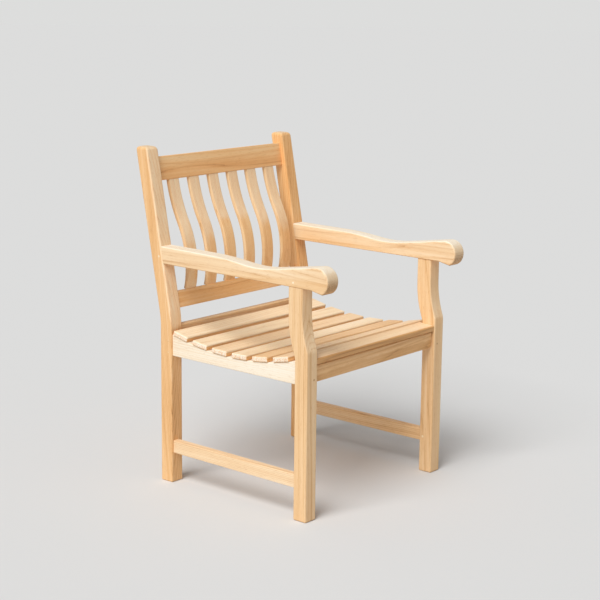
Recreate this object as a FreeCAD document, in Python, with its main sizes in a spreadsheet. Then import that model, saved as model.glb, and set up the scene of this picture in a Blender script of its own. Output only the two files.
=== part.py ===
import FreeCAD, Part
import math
import os
import re

import Sketcher

# A slatted teak garden armchair, built as a joiner builds it: every stick is a solid of its own, and
# tenons and round pegs hold the sticks together. Millimetres and degrees. The chair faces -Y, +Z is up
# and +X is on the right of someone who looks at its front. The working frame starts at the floor, in the
# middle of the width, at the front face of the front feet; each piece is then moved forwards so that the
# origin ends up under the middle of the whole chair.

BACK_SLATS = 6
SEAT_SLATS = 6
FRONT_SLAT_DOWELS = 3
SIDES = {"left": -1, "right": 1}
HALF_TURN = 180
NEAR = 0.01

SIZES = {
    # overall
    "chair_width": 610,
    "chair_height": 951,
    "foot_span": 540,
    # legs
    "leg_width": 43,
    "front_leg_depth": 43.5,
    "rear_leg_depth": 43,
    "leg_edge_round": 3,
    "foot_chamfer": 2,
    # the set-back knee of a front leg; the heights are shares of the way from the seat to the arm
    "knee_front_share": 0.2,
    "knee_rear_share": 0.104,
    "knee_round": 20,
    "bend_front_share": 0.47,
    "bend_rear_share": 0.44,
    "bend_round": 280,
    "bend_room_share": 0.8,
    "leg_set_back": 20,
    "upper_leg_depth": 47.5,
    # the kink of a rear leg, above the lowest point of the seat
    "back_rake": 11,
    "kink_rise": 58,
    "kink_round": 300,
    "post_top_round": 9,
    # arms
    "arm_height": 631,
    "arm_width": 46,
    "arm_rear_thickness": 48,
    "arm_flat_place": 300,
    "arm_flat_fall": 2,
    "arm_flat_round": 1000,
    "arm_dip_place": 175,
    "arm_dip_depth": 15,
    "arm_dip_round": 400,
    "arm_room_share": 0.45,
    "nose_round": 37,
    "nose_lead": 27,
    "nose_lift": 24,
    "nose_lip_lead": 45,
    "nose_heel_lead": 6,
    "arm_edge_round": 5.5,
    # back rails, measured along the rake and behind the front face of the posts
    "back_rail_thickness": 22,
    "top_rail_drop": 29.9,
    "top_rail_height": 66,
    "top_rail_recess": 13.5,
    "lower_rail_rise": 49,
    "lower_rail_height": 47.5,
    "lower_rail_recess": 3,
    # back slats
    "back_slat_width": 42,
    "back_slat_thickness": 12,
    "back_slat_top_step": 1.5,
    "back_slat_low_step": 3.5,
    "belly_round": 269,
    "hollow_round": 417,
    # seat dish and slats; the middle of the dish is a share of the way from front leg to post
    "dish_share": 0.51,
    "dish_height": 420,
    "dish_round": 880,
    "seat_slat_thickness": 15,
    "seat_slat_gap": 18.3,
    "rear_slat_gap": 7,
    "front_slat_gap": 13.6,
    "seat_slat_overhang": 4,
    "slat_edge_round": 3.5,
    # front slat
    "front_slat_lead": 2,
    "front_slat_rise": 21,
    "front_slat_width": 53,
    "front_slat_thickness": 16,
    "front_slat_tilt": 4.3,
    "front_slat_nose_round": 7,
    "nose_wall_share": 0.45,
    "front_slat_end_gap": 0.5,
    # seat rails
    "seat_rail_thickness": 22,
    "side_rail_depth": 33.3,
    "side_rail_inset": 6,
    "front_rail_depth": 49.5,
    "front_rail_set_back": 10,
    "front_rail_corner": 12,
    "rear_rail_rise": 35,
    "rear_rail_depth": 70,
    "rear_rail_set_back": 5,
    # side stretchers
    "stretcher_height": 87,
    "stretcher_depth": 37,
    "stretcher_thickness": 22,
    "stretcher_inset": 7,
    # joints
    "rail_edge_round": 2.5,
    "tenon_thickness": 12,
    "tenon_shoulder": 4,
    "side_tenon_length": 24,
    "front_tenon_length": 28,
    "back_tenon_length": 20,
    "tenon_wall": 4,
    "mortise_end_gap": 1,
    "leg_tenon_width": 16,
    "leg_tenon_depth": 30,
    "leg_tenon_height": 25,
    "arm_tenon_thickness": 14,
    "arm_tenon_height": 28,
    "arm_tenon_lift": 5,
    "arm_tenon_length": 27,
    "slat_tenon_thickness": 8,
    "slat_tenon_length": 14,
    # pegs and dowels
    "peg_diameter": 7,
    "peg_gap": 0.05,
    "peg_bite": 2,
    "dowel_diameter": 8,
    "dowel_in_slat": 10,
    "dowel_in_rail": 15,
}

doc = FreeCAD.newDocument("garden_armchair")
sheet = doc.addObject("Spreadsheet::Sheet", "Sizes")
for row, (alias, value) in enumerate(SIZES.items(), start=1):
    sheet.set(f"A{row}", alias.replace("_", " "))
    sheet.set(f"B{row}", str(value))
    sheet.setAlias(f"B{row}", alias)
doc.recompute()

# Formulas that more than one piece follows, in the words of the size list.
POST_FRONT = "(foot_span - rear_leg_depth)"
INNER_FACE = "(chair_width/2 - leg_width)"
LEG_CENTRE = "(chair_width/2 - leg_width/2)"
ARM_CENTRE = "(chair_width/2 - arm_width/2)"
SIDE_RAIL_CENTRE = "(chair_width/2 - side_rail_inset - seat_rail_thickness/2)"
STRETCHER_CENTRE = "(chair_width/2 - stretcher_inset - stretcher_thickness/2)"
FRONT_RAIL_CENTRE = "(front_rail_set_back + seat_rail_thickness/2)"
REAR_RAIL_CENTRE = f"({POST_FRONT} + rear_rail_set_back + seat_rail_thickness/2)"
UPPER_LEG_CENTRE = "(leg_set_back + upper_leg_depth/2)"
KINK_HEIGHT = "(dish_height + kink_rise)"
REAR_REACH = (
    f"(foot_span + tan(back_rake)*(chair_height - post_top_round - {KINK_HEIGHT}"
    " + rear_leg_depth*tan(back_rake/2)) + post_top_round - post_top_round/cos(back_rake))"
)
ROW_CENTRE = f"(({REAR_REACH} - nose_lead - nose_round)/2)"
TOP_RAIL_CENTRE = "(top_rail_recess + back_rail_thickness/2)"
LOWER_RAIL_CENTRE = "(lower_rail_recess + back_rail_thickness/2)"
TOP_RAIL_PLACE = f"((chair_height - {KINK_HEIGHT})/cos(back_rake) - top_rail_drop - top_rail_height)"
LOWER_RAIL_PLACE = "(rear_rail_rise + lower_rail_rise - kink_rise)"
LOWER_RAIL_TOP = f"({LOWER_RAIL_PLACE} + lower_rail_height)"
SLAT_TOP_FACE = "(top_rail_recess + back_slat_top_step)"
SLAT_LOW_FACE = "(lower_rail_recess + back_slat_low_step)"
REAR_TENON_LENGTH = f"({SIDE_RAIL_CENTRE} - tenon_thickness/2 - {INNER_FACE} - tenon_wall)"
SHORT_TENON_LENGTH = f"(front_leg_depth - {FRONT_RAIL_CENTRE} - tenon_thickness/2 - tenon_wall)"
ARM_TENON_CENTRE = "(arm_height + arm_tenon_lift + arm_tenon_height/2)"
PEG_INSET = "(tenon_shoulder + peg_diameter)"

# The seat: six slats of equal width and gap fill the room behind the front slat, on a dished rail.
DISH_PLACE = f"(front_leg_depth + dish_share*({POST_FRONT} - front_leg_depth))"
DISH_CENTRE = "(dish_height + dish_round)"
FRONT_SLAT_HEIGHT = "(dish_height + front_slat_rise)"
REAR_SLAT_EDGE = f"({POST_FRONT} - rear_slat_gap)"
FIRST_SLAT_EDGE = "(front_slat_lead + front_slat_width*cos(front_slat_tilt) + front_slat_gap)"
SEAT_SLAT_WIDTH = (
    f"(({REAR_SLAT_EDGE} - {FIRST_SLAT_EDGE} - {SEAT_SLATS - 1}*seat_slat_gap)/{SEAT_SLATS})"
)
RAIL_DISH_ROUND = f"sqrt((dish_round + seat_slat_thickness)^2 + ({SEAT_SLAT_WIDTH}/2)^2)"
SIDE_RAIL_BOTTOM = f"({DISH_CENTRE} - {RAIL_DISH_ROUND} - side_rail_depth)"
REAR_RAIL_TOP = "(dish_height + rear_rail_rise)"
REAR_RAIL_BOTTOM = f"({REAR_RAIL_TOP} - rear_rail_depth)"


def bound(formula):
    """Turn the plain words of a formula into references to the sheet's cells."""
    return re.sub(r"[a-z_]+", lambda word: "Sizes." + word[0] if word[0] in SIZES else word[0], formula)


def value_of(formula):
    """The number that a formula gives with the sizes as they are."""
    return float(sheet.evalExpression(bound(formula)))


def bind(item, **formulas):
    """Tie properties of an object to formulas of the named sizes; a double underscore stands for a dot."""
    for path, formula in formulas.items():
        item.setExpression(path.replace("__", "."), bound(formula))


def place(item, across="0", back="0", up="0", turn=None, axis=(1, 0, 0)):
    """Give an object a Placement that follows the named sizes, turned about one axis."""
    if turn is not None:
        item.Placement = FreeCAD.Placement(FreeCAD.Vector(), FreeCAD.Rotation(FreeCAD.Vector(*axis), 1))
        bind(item, Placement__Rotation__Angle=turn)
    bind(item, Placement__Base__x=across, Placement__Base__y=back, Placement__Base__z=up)


def new_body(name, across="0", back="0", up="0", turn=None):
    """A body whose own frame is the working frame, or a frame that is moved and tilted inside it."""
    body = doc.addObject("PartDesign::Body", name)
    body.Label = name
    place(body, across, f"{back} - {ROW_CENTRE}", up, turn)
    return body


def front_of_post(height):
    """How far back the raked front face of a post lies at a height."""
    return f"({POST_FRONT} + tan(back_rake)*({height} - {KINK_HEIGHT}))"


def back_point(along, behind):
    """Place in the working frame of a point up the rake and behind the front face of the posts."""
    back = f"({POST_FRONT} + ({along})*sin(back_rake) + ({behind})*cos(back_rake))"
    up = f"({KINK_HEIGHT} + ({along})*cos(back_rake) - ({behind})*sin(back_rake))"
    return back, up


def under_front_slat(back):
    """Height of the flat underside of the front slat at a distance back."""
    return (
        f"({FRONT_SLAT_HEIGHT} + ({back} - front_slat_lead)*tan(front_slat_tilt)"
        " - front_slat_thickness/cos(front_slat_tilt))"
    )


def rail_top(back):
    """Height of the dished top of a side rail at a distance back."""
    return f"({DISH_CENTRE} - sqrt({RAIL_DISH_ROUND}^2 - ({back} - {DISH_PLACE})^2))"


def seat_slat_place(number):
    """Distance back of the middle of a seat slat, counted from the rear one."""
    pitch = f"({SEAT_SLAT_WIDTH} + seat_slat_gap)"
    return f"({REAR_SLAT_EDGE} - {SEAT_SLAT_WIDTH}/2 - {number - 1}*{pitch})"


def seat_slat_slope(number):
    """Angle by which a seat slat follows the dish."""
    return f"asin(({seat_slat_place(number)} - {DISH_PLACE})/dish_round)"


def back_slat_place(number):
    """Distance across of the middle of a back slat, with equal gaps between the posts."""
    gap = f"(2*{INNER_FACE} - {BACK_SLATS}*back_slat_width)/{BACK_SLATS + 1}"
    return f"({number}*{gap} + ({number} - 1/2)*back_slat_width - {INNER_FACE})"


FRONT_RAIL_BOTTOM = f"({under_front_slat('front_rail_set_back')} - front_rail_depth)"
FRONT_SIDE_TENON_HEIGHT = f"({rail_top('front_leg_depth')} - {SIDE_RAIL_BOTTOM} - 2*tenon_shoulder)"
REAR_SIDE_TENON_HEIGHT = f"({rail_top(POST_FRONT)} - {SIDE_RAIL_BOTTOM} - 2*tenon_shoulder)"
ARM_TENON_END = f"({front_of_post(ARM_TENON_CENTRE)} + arm_tenon_length)"
SLAT_TOP_CENTRE = f"({SLAT_TOP_FACE} + back_slat_thickness/2)"
SLAT_TENON_WIDTH = "(back_slat_width - 2*tenon_shoulder)"
BACK_RAILS = {
    "top": (TOP_RAIL_CENTRE, TOP_RAIL_PLACE, "top_rail_height"),
    "lower": (LOWER_RAIL_CENTRE, LOWER_RAIL_PLACE, "lower_rail_height"),
}


def new_sketch(body, name):
    """A sketch on the upright plane that runs from front to back in the middle of a body."""
    sketch = body.newObject("Sketcher::SketchObject", name)
    origin_plane = next(item for item in body.Origin.OriginFeatures if item.Role == "YZ_Plane")
    sketch.AttachmentSupport = [(origin_plane, "")]
    sketch.MapMode = "FlatFace"
    return sketch


def pin(sketch, curve, end, across=None, up=None):
    """Fix a point of a sketch by its distances from the sketch's origin."""
    for kind, axis, formula in (("DistanceX", -2, across), ("DistanceY", -1, up)):
        if formula == "0":
            sketch.addConstraint(Sketcher.Constraint("PointOnObject", curve, end, axis))
        elif formula is not None:
            number = sketch.addConstraint(
                Sketcher.Constraint(kind, -1, 1, curve, end, value_of(formula))
            )
            sketch.setExpression(f"Constraints[{number}]", bound(formula))


def join(sketch, *ends):
    """Make pairs of curve ends coincide; each end is a curve and its start (1), end (2) or centre (3)."""
    for (curve, end), (other, other_end) in ends:
        sketch.addConstraint(Sketcher.Constraint("Coincident", curve, end, other, other_end))


def set_radius(sketch, curve, formula):
    """Fix the radius of an arc."""
    number = sketch.addConstraint(Sketcher.Constraint("Radius", curve, value_of(formula)))
    sketch.setExpression(f"Constraints[{number}]", bound(formula))


def add_line(sketch, start, end):
    """A straight line between two points that are given as formulas."""
    points = [FreeCAD.Vector(value_of(across), value_of(up), 0) for across, up in (start, end)]
    return sketch.addGeometry(Part.LineSegment(*points), False)


def add_arc(sketch, centre, radius, start, end):
    """An arc about a point, anticlockwise between two angles in degrees."""
    circle = Part.Circle(FreeCAD.Vector(*centre, 0), FreeCAD.Vector(0, 0, 1), radius)
    return sketch.addGeometry(Part.ArcOfCircle(circle, math.radians(start), math.radians(end)), False)


def polygon(body, name, corners):
    """A closed sketch of straight lines through corners that are given as formulas."""
    sketch = new_sketch(body, name)
    lines = [add_line(sketch, corner, corners[(place_in + 1) % len(corners)])
             for place_in, corner in enumerate(corners)]
    for here, after in zip(lines, lines[1:] + lines[:1]):
        join(sketch, ((here, 2), (after, 1)))
    for line, (across, up) in zip(lines, corners):
        pin(sketch, line, 1, across, up)
    return sketch


def pad(body, name, sketch, length):
    """Thicken a sketch equally to both sides of its plane."""
    feature = body.newObject("PartDesign::Pad", name)
    feature.Profile = sketch
    feature.SideType = "Symmetric"
    bind(feature, Length=length)
    doc.recompute()
    return feature


def solid_box(body, kind, name, low, size, turn=None):
    """Add or cut a box, from its low corner and its size across, back and up."""
    box = body.newObject(f"PartDesign::{kind}Box", name)
    bind(box, Length=size[0], Width=size[1], Height=size[2])
    place(box, *low, turn=turn)
    return box


def edges_where(feature, test):
    """Names of the edges of a feature that pass a test."""
    return [f"Edge{number}" for number, edge in enumerate(feature.Shape.Edges, start=1) if test(edge)]


def is_straight(edge, direction):
    """True for a straight edge along an axis."""
    if not isinstance(edge.Curve, Part.Line):
        return False
    return abs(abs(edge.Curve.Direction.dot(FreeCAD.Vector(*direction))) - 1) < NEAR


def corner_edges(feature, across, up):
    """Edges along X that pass through a point of a YZ outline."""
    point = (value_of(across), value_of(up))

    def passes(edge):
        middle = edge.CenterOfMass
        return is_straight(edge, (1, 0, 0)) and math.dist(point, (middle.y, middle.z)) < NEAR

    return edges_where(feature, passes)


def dress(body, kind, name, base, edges, size):
    """Round (Fillet) or bevel (Chamfer) the chosen edges of the last feature."""
    feature = body.newObject(f"PartDesign::{kind}", name)
    feature.Base = (base, edges)
    bind(feature, **{"Radius" if kind == "Fillet" else "Size": size})
    doc.recompute()
    return feature


def long_edges(feature, width, low, high):
    """Edges of the two side faces of a piece, apart from those at its two ends."""
    half = value_of(width) / 2
    bottom = value_of(low)
    top = value_of(high)

    def on_side(edge):
        middle = edge.CenterOfMass
        at_end = is_straight(edge, (0, 1, 0)) and min(abs(middle.z - bottom), abs(middle.z - top)) < NEAR
        return abs(abs(middle.x) - half) < NEAR and edge.BoundBox.XLength < NEAR and not at_end

    return edges_where(feature, on_side)


def front_slat_point(along, depth):
    """Place in the working frame of a point on the front slat: back along it, and down from its top."""
    back = f"(front_slat_lead + {along}*cos(front_slat_tilt) + ({depth})*sin(front_slat_tilt))"
    up = f"({FRONT_SLAT_HEIGHT} + {along}*sin(front_slat_tilt) - ({depth})*cos(front_slat_tilt))"
    return back, up


def seat_point(number, depth):
    """Place in the working frame of a point under the middle of a seat slat's top."""
    slope = seat_slat_slope(number)
    back = f"({DISH_PLACE} + (dish_round + {depth})*sin({slope}))"
    up = f"({DISH_CENTRE} - (dish_round + {depth})*cos({slope}))"
    return back, up


def front_dowel_place(number):
    """Distance across of a dowel of the front slat."""
    return f"({2 * number - FRONT_SLAT_DOWELS - 1}*{INNER_FACE}/{FRONT_SLAT_DOWELS})"


# A peg is known by where its head lies, how long it is, and how +Z is turned to give its direction. The
# same peg cuts the holes in the leg and in the tenon, and makes the peg itself.

def peg(start, length, turn, axis=(1, 0, 0), diameter="peg_diameter"):
    """One round peg."""
    return {"start": start, "length": length, "turn": turn, "axis": axis, "diameter": diameter}


def peg_inwards(side, back, up, centre, thickness):
    """A peg from the outer face of a leg, through a tenon that stands along the chair."""
    length = f"(chair_width/2 - {centre} + {thickness}/2 + peg_bite)"
    return peg((f"{side}*chair_width/2", back, up), length, f"{-side}*90", (0, 1, 0))


def peg_outwards(side, back, up, centre, thickness):
    """A peg from the inner face of a leg, through a tenon that stands along the chair."""
    length = f"({centre} - {INNER_FACE} + {thickness}/2 + peg_bite)"
    return peg((f"{side}*{INNER_FACE}", back, up), length, f"{side}*90", (0, 1, 0))


def arm_rear_peg(side):
    back = f"({front_of_post(ARM_TENON_CENTRE)} + arm_tenon_length/2)"
    return peg_inwards(side, back, ARM_TENON_CENTRE, LEG_CENTRE, "arm_tenon_thickness")


def arm_front_peg(side):
    back = f"({UPPER_LEG_CENTRE} + leg_tenon_depth/4)"
    return peg_inwards(side, back, "arm_height + leg_tenon_height/2", LEG_CENTRE, "leg_tenon_width")


def front_rail_peg(side):
    start = (f"{side}*({INNER_FACE} + front_tenon_length/2)", "0", f"{FRONT_RAIL_BOTTOM} + {PEG_INSET}")
    return peg(start, f"({FRONT_RAIL_CENTRE} + tenon_thickness/2 + peg_bite)", "-90")


def side_rail_pegs(side):
    back = f"({POST_FRONT} + side_tenon_length/2)"
    heights = (f"{SIDE_RAIL_BOTTOM} + {PEG_INSET}", f"{rail_top(POST_FRONT)} - {PEG_INSET} - peg_diameter")
    return [peg_inwards(side, back, up, SIDE_RAIL_CENTRE, "tenon_thickness") for up in heights]


def stretcher_peg(side, end):
    places = {
        "front": "front_leg_depth - side_tenon_length/2",
        "rear": f"{POST_FRONT} + side_tenon_length/2",
    }
    up = "stretcher_height + stretcher_depth/2"
    return peg_outwards(side, places[end], up, STRETCHER_CENTRE, "tenon_thickness")


def rear_rail_peg(side):
    across = f"{side}*({INNER_FACE} + {REAR_TENON_LENGTH}/2)"
    start = (across, "foot_span", f"{REAR_RAIL_TOP} - rear_rail_depth/2")
    return peg(start, f"(foot_span - {REAR_RAIL_CENTRE} + tenon_thickness/2 + peg_bite)", "90")


def back_rail_peg(side, rail, raked=False):
    """A peg from the rear face of a post into a back rail, in the raked frame or in the working frame."""
    centre, low, height = BACK_RAILS[rail]
    along = f"({low} + {height}/2)"
    across = f"{side}*({INNER_FACE} + back_tenon_length/2)"
    length = f"(rear_leg_depth - {centre} + tenon_thickness/2 + peg_bite)"
    if raked:
        return peg((across, "rear_leg_depth", along), length, "90")
    return peg((across, *back_point(along, "rear_leg_depth")), length, "90 - back_rake")


def seat_dowel(side, number, on_slat=False):
    """A blind dowel between a seat slat and a side rail, in the slat's frame or in the working frame."""
    depth = "(seat_slat_thickness + dowel_in_rail)"
    across = f"{side}*{SIDE_RAIL_CENTRE}"
    length = "(dowel_in_rail + dowel_in_slat)"
    if on_slat:
        return peg((across, "0", f"-{depth}"), length, "0", diameter="dowel_diameter")
    start = (across, *seat_point(number, depth))
    return peg(start, length, seat_slat_slope(number), diameter="dowel_diameter")


def front_dowel(number, on_slat=False):
    """A blind dowel between the front slat and the front rail."""
    depth = "(front_slat_thickness + dowel_in_rail)"
    along = f"({FRONT_RAIL_CENTRE} - front_slat_lead)"
    length = "(dowel_in_rail + dowel_in_slat)"
    if on_slat:
        return peg((front_dowel_place(number), along, f"-{depth}"), length, "0", diameter="dowel_diameter")
    start = (front_dowel_place(number), *front_slat_point(along, depth))
    return peg(start, length, "front_slat_tilt", diameter="dowel_diameter")


def bore(body, name, fastener, centre="0"):
    """Cut the hole of a peg or dowel in a body whose frame lies across the chair at a centre."""
    hole = body.newObject("PartDesign::SubtractiveCylinder", name)
    across, back, up = fastener["start"]
    bind(hole, Radius=f"{fastener['diameter']}/2 + peg_gap", Height=fastener["length"])
    place(hole, f"{across} - {centre}", back, up, turn=fastener["turn"], axis=fastener["axis"])


def fastener_group(name, fasteners):
    """Identical pegs or dowels as separate solids of one sub-part."""
    group = doc.addObject("Part::Compound", name)
    group.Label = name
    rods = []
    for number, fastener in enumerate(fasteners, start=1):
        rod = doc.addObject("Part::Cylinder", f"{name}_{number}")
        bind(rod, Radius=f"{fastener['diameter']}/2", Height=fastener["length"])
        place(rod, *fastener["start"], turn=fastener["turn"], axis=fastener["axis"])
        rods.append(rod)
    group.Links = rods
    place(group, back=f"-{ROW_CENTRE}")
    return group


def above_seat(share):
    """A height that is a share of the way from the lowest point of the seat to the arm."""
    return f"(dish_height + {share}*(arm_height - dish_height))"


def limited(radius, room, turn):
    """A radius that keeps a rounded corner within the room that its side gives, for the corner's turn."""
    return f"min({radius}; {room}/tan({turn}/2))"


def bevel_foot(body, base):
    """A small bevel round the sole of a leg."""
    edges = edges_where(base, lambda edge: edge.BoundBox.ZMax < NEAR)
    return dress(body, "Chamfer", "foot_bevel", base, edges, "foot_chamfer")


def cut_from_inside(body, name, side, tenon_length, middle, low, height):
    """A mortise in the inner face of a leg for a rail that runs across the chair."""
    depth = f"({tenon_length} + mortise_end_gap)"
    start = "-leg_width/2" if side > 0 else f"leg_width/2 - {depth}"
    solid_box(
        body, "Subtractive", name,
        (start, f"{middle} - tenon_thickness/2", low), (depth, "tenon_thickness", height),
    )


def front_leg(side_name):
    """One stick from the floor to the arm, set back above the seat by a knee on both faces."""
    side = SIDES[side_name]
    centre = f"{side}*{LEG_CENTRE}"
    body = new_body(f"front_leg_{side_name}", across=centre)
    front_knee = ("0", above_seat("knee_front_share"))
    front_bend = ("leg_set_back", above_seat("bend_front_share"))
    rear_bend = ("leg_set_back + upper_leg_depth", above_seat("bend_rear_share"))
    rear_knee = ("front_leg_depth", above_seat("knee_rear_share"))
    outline = polygon(body, "outline", [
        ("0", "0"), front_knee, front_bend, ("leg_set_back", "arm_height"),
        ("leg_set_back + upper_leg_depth", "arm_height"), rear_bend, rear_knee, ("front_leg_depth", "0"),
    ])
    stick = pad(body, "stick", outline, "leg_width")
    edges = corner_edges(stick, *front_knee) + corner_edges(stick, *rear_knee)
    base = dress(body, "Fillet", "knees", stick, edges, "knee_round")
    for name, knee, bend in (("front_bend", front_knee, front_bend), ("rear_bend", rear_knee, rear_bend)):
        back = f"({bend[0]} - {knee[0]})"
        up = f"({bend[1]} - {knee[1]})"
        radius = limited("bend_round", f"bend_room_share*sqrt({back}^2 + {up}^2)", f"atan({back}/{up})")
        base = dress(body, "Fillet", name, base, corner_edges(base, *bend), radius)
    edges = long_edges(base, "leg_width", "0", "arm_height")
    rounded = dress(body, "Fillet", "rounded_edges", base, edges, "leg_edge_round")
    bevel_foot(body, rounded)
    solid_box(
        body, "Additive", "arm_tenon",
        ("-leg_tenon_width/2", f"{UPPER_LEG_CENTRE} - leg_tenon_depth/2", "arm_height"),
        ("leg_tenon_width", "leg_tenon_depth", "leg_tenon_height"),
    )
    cut_from_inside(
        body, "front_rail_mortise", side, "front_tenon_length",
        FRONT_RAIL_CENTRE, f"{FRONT_RAIL_BOTTOM} + tenon_shoulder", "front_rail_depth - 2*tenon_shoulder",
    )
    solid_box(
        body, "Subtractive", "side_rail_mortise",
        (f"{side}*({SIDE_RAIL_CENTRE} - {LEG_CENTRE}) - tenon_thickness/2",
         f"front_leg_depth - {SHORT_TENON_LENGTH} - mortise_end_gap",
         f"{SIDE_RAIL_BOTTOM} + tenon_shoulder"),
        ("tenon_thickness", f"{SHORT_TENON_LENGTH} + mortise_end_gap", FRONT_SIDE_TENON_HEIGHT),
    )
    solid_box(
        body, "Subtractive", "stretcher_mortise",
        (f"{side}*({STRETCHER_CENTRE} - {LEG_CENTRE}) - tenon_thickness/2",
         "front_leg_depth - side_tenon_length - mortise_end_gap", "stretcher_height + tenon_shoulder"),
        ("tenon_thickness", "side_tenon_length + mortise_end_gap", "stretcher_depth - 2*tenon_shoulder"),
    )
    bore(body, "arm_peg_hole", arm_front_peg(side), centre)
    bore(body, "front_rail_peg_hole", front_rail_peg(side), centre)
    bore(body, "stretcher_peg_hole", stretcher_peg(side, "front"), centre)
    return body


def rear_leg(side_name):
    """One stick from the floor to the top of the back, bent to the rake above the seat."""
    side = SIDES[side_name]
    centre = f"{side}*{LEG_CENTRE}"
    body = new_body(f"rear_leg_{side_name}", across=centre)
    front_kink = (POST_FRONT, KINK_HEIGHT)
    rear_kink = ("foot_span", f"{KINK_HEIGHT} - rear_leg_depth*tan(back_rake/2)")
    top_front = front_of_post("chair_height")
    outline = polygon(body, "outline", [
        (POST_FRONT, "0"), front_kink, (top_front, "chair_height"),
        (f"{top_front} + rear_leg_depth/cos(back_rake)", "chair_height"), rear_kink, ("foot_span", "0"),
    ])
    stick = pad(body, "stick", outline, "leg_width")
    front_bend = dress(body, "Fillet", "front_bend", stick, corner_edges(stick, *front_kink), "kink_round")
    edges = corner_edges(front_bend, *rear_kink)
    rear_bend = dress(body, "Fillet", "rear_bend", front_bend, edges, "kink_round - rear_leg_depth")
    top_height = value_of("chair_height")
    edges = edges_where(rear_bend, lambda edge: edge.BoundBox.ZMin > top_height - NEAR)
    top = dress(body, "Fillet", "rounded_top", rear_bend, edges, "post_top_round")
    edges = long_edges(top, "leg_width", "0", "chair_height - post_top_round")
    rounded = dress(body, "Fillet", "rounded_edges", top, edges, "leg_edge_round")
    bevel_foot(body, rounded)
    side_tenons = {
        "side_rail": (SIDE_RAIL_CENTRE, f"{SIDE_RAIL_BOTTOM} + tenon_shoulder", REAR_SIDE_TENON_HEIGHT),
        "stretcher": (STRETCHER_CENTRE, "stretcher_height + tenon_shoulder",
                      "stretcher_depth - 2*tenon_shoulder"),
    }
    for rail, (rail_centre, low, height) in side_tenons.items():
        solid_box(
            body, "Subtractive", f"{rail}_mortise",
            (f"{side}*({rail_centre} - {LEG_CENTRE}) - tenon_thickness/2", POST_FRONT, low),
            ("tenon_thickness", "side_tenon_length + mortise_end_gap", height),
        )
    cut_from_inside(
        body, "rear_rail_mortise", side, REAR_TENON_LENGTH,
        REAR_RAIL_CENTRE, f"{REAR_RAIL_BOTTOM} + tenon_shoulder", "rear_rail_depth - 2*tenon_shoulder",
    )
    start = front_of_post("arm_height")
    solid_box(
        body, "Subtractive", "arm_mortise",
        ("-arm_tenon_thickness/2", start, "arm_height + arm_tenon_lift"),
        ("arm_tenon_thickness", f"{ARM_TENON_END} + mortise_end_gap - {start}", "arm_tenon_height"),
    )
    depth = "(back_tenon_length + mortise_end_gap)"
    across = "-leg_width/2" if side > 0 else f"leg_width/2 - {depth}"
    for rail, (rail_centre, low, height) in BACK_RAILS.items():
        back, up = back_point(f"{low} + tenon_shoulder", f"{rail_centre} - tenon_thickness/2")
        solid_box(
            body, "Subtractive", f"{rail}_back_rail_mortise", (across, back, up),
            (depth, "tenon_thickness", f"{height} - 2*tenon_shoulder"), turn="-back_rake",
        )
        bore(body, f"{rail}_back_rail_peg_hole", back_rail_peg(side, rail), centre)
    bore(body, "arm_peg_hole", arm_rear_peg(side), centre)
    for number, fastener in enumerate(side_rail_pegs(side), start=1):
        bore(body, f"side_rail_peg_hole_{number}", fastener, centre)
    bore(body, "stretcher_peg_hole", stretcher_peg(side, "rear"), centre)
    bore(body, "rear_rail_peg_hole", rear_rail_peg(side), centre)
    return body


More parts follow.
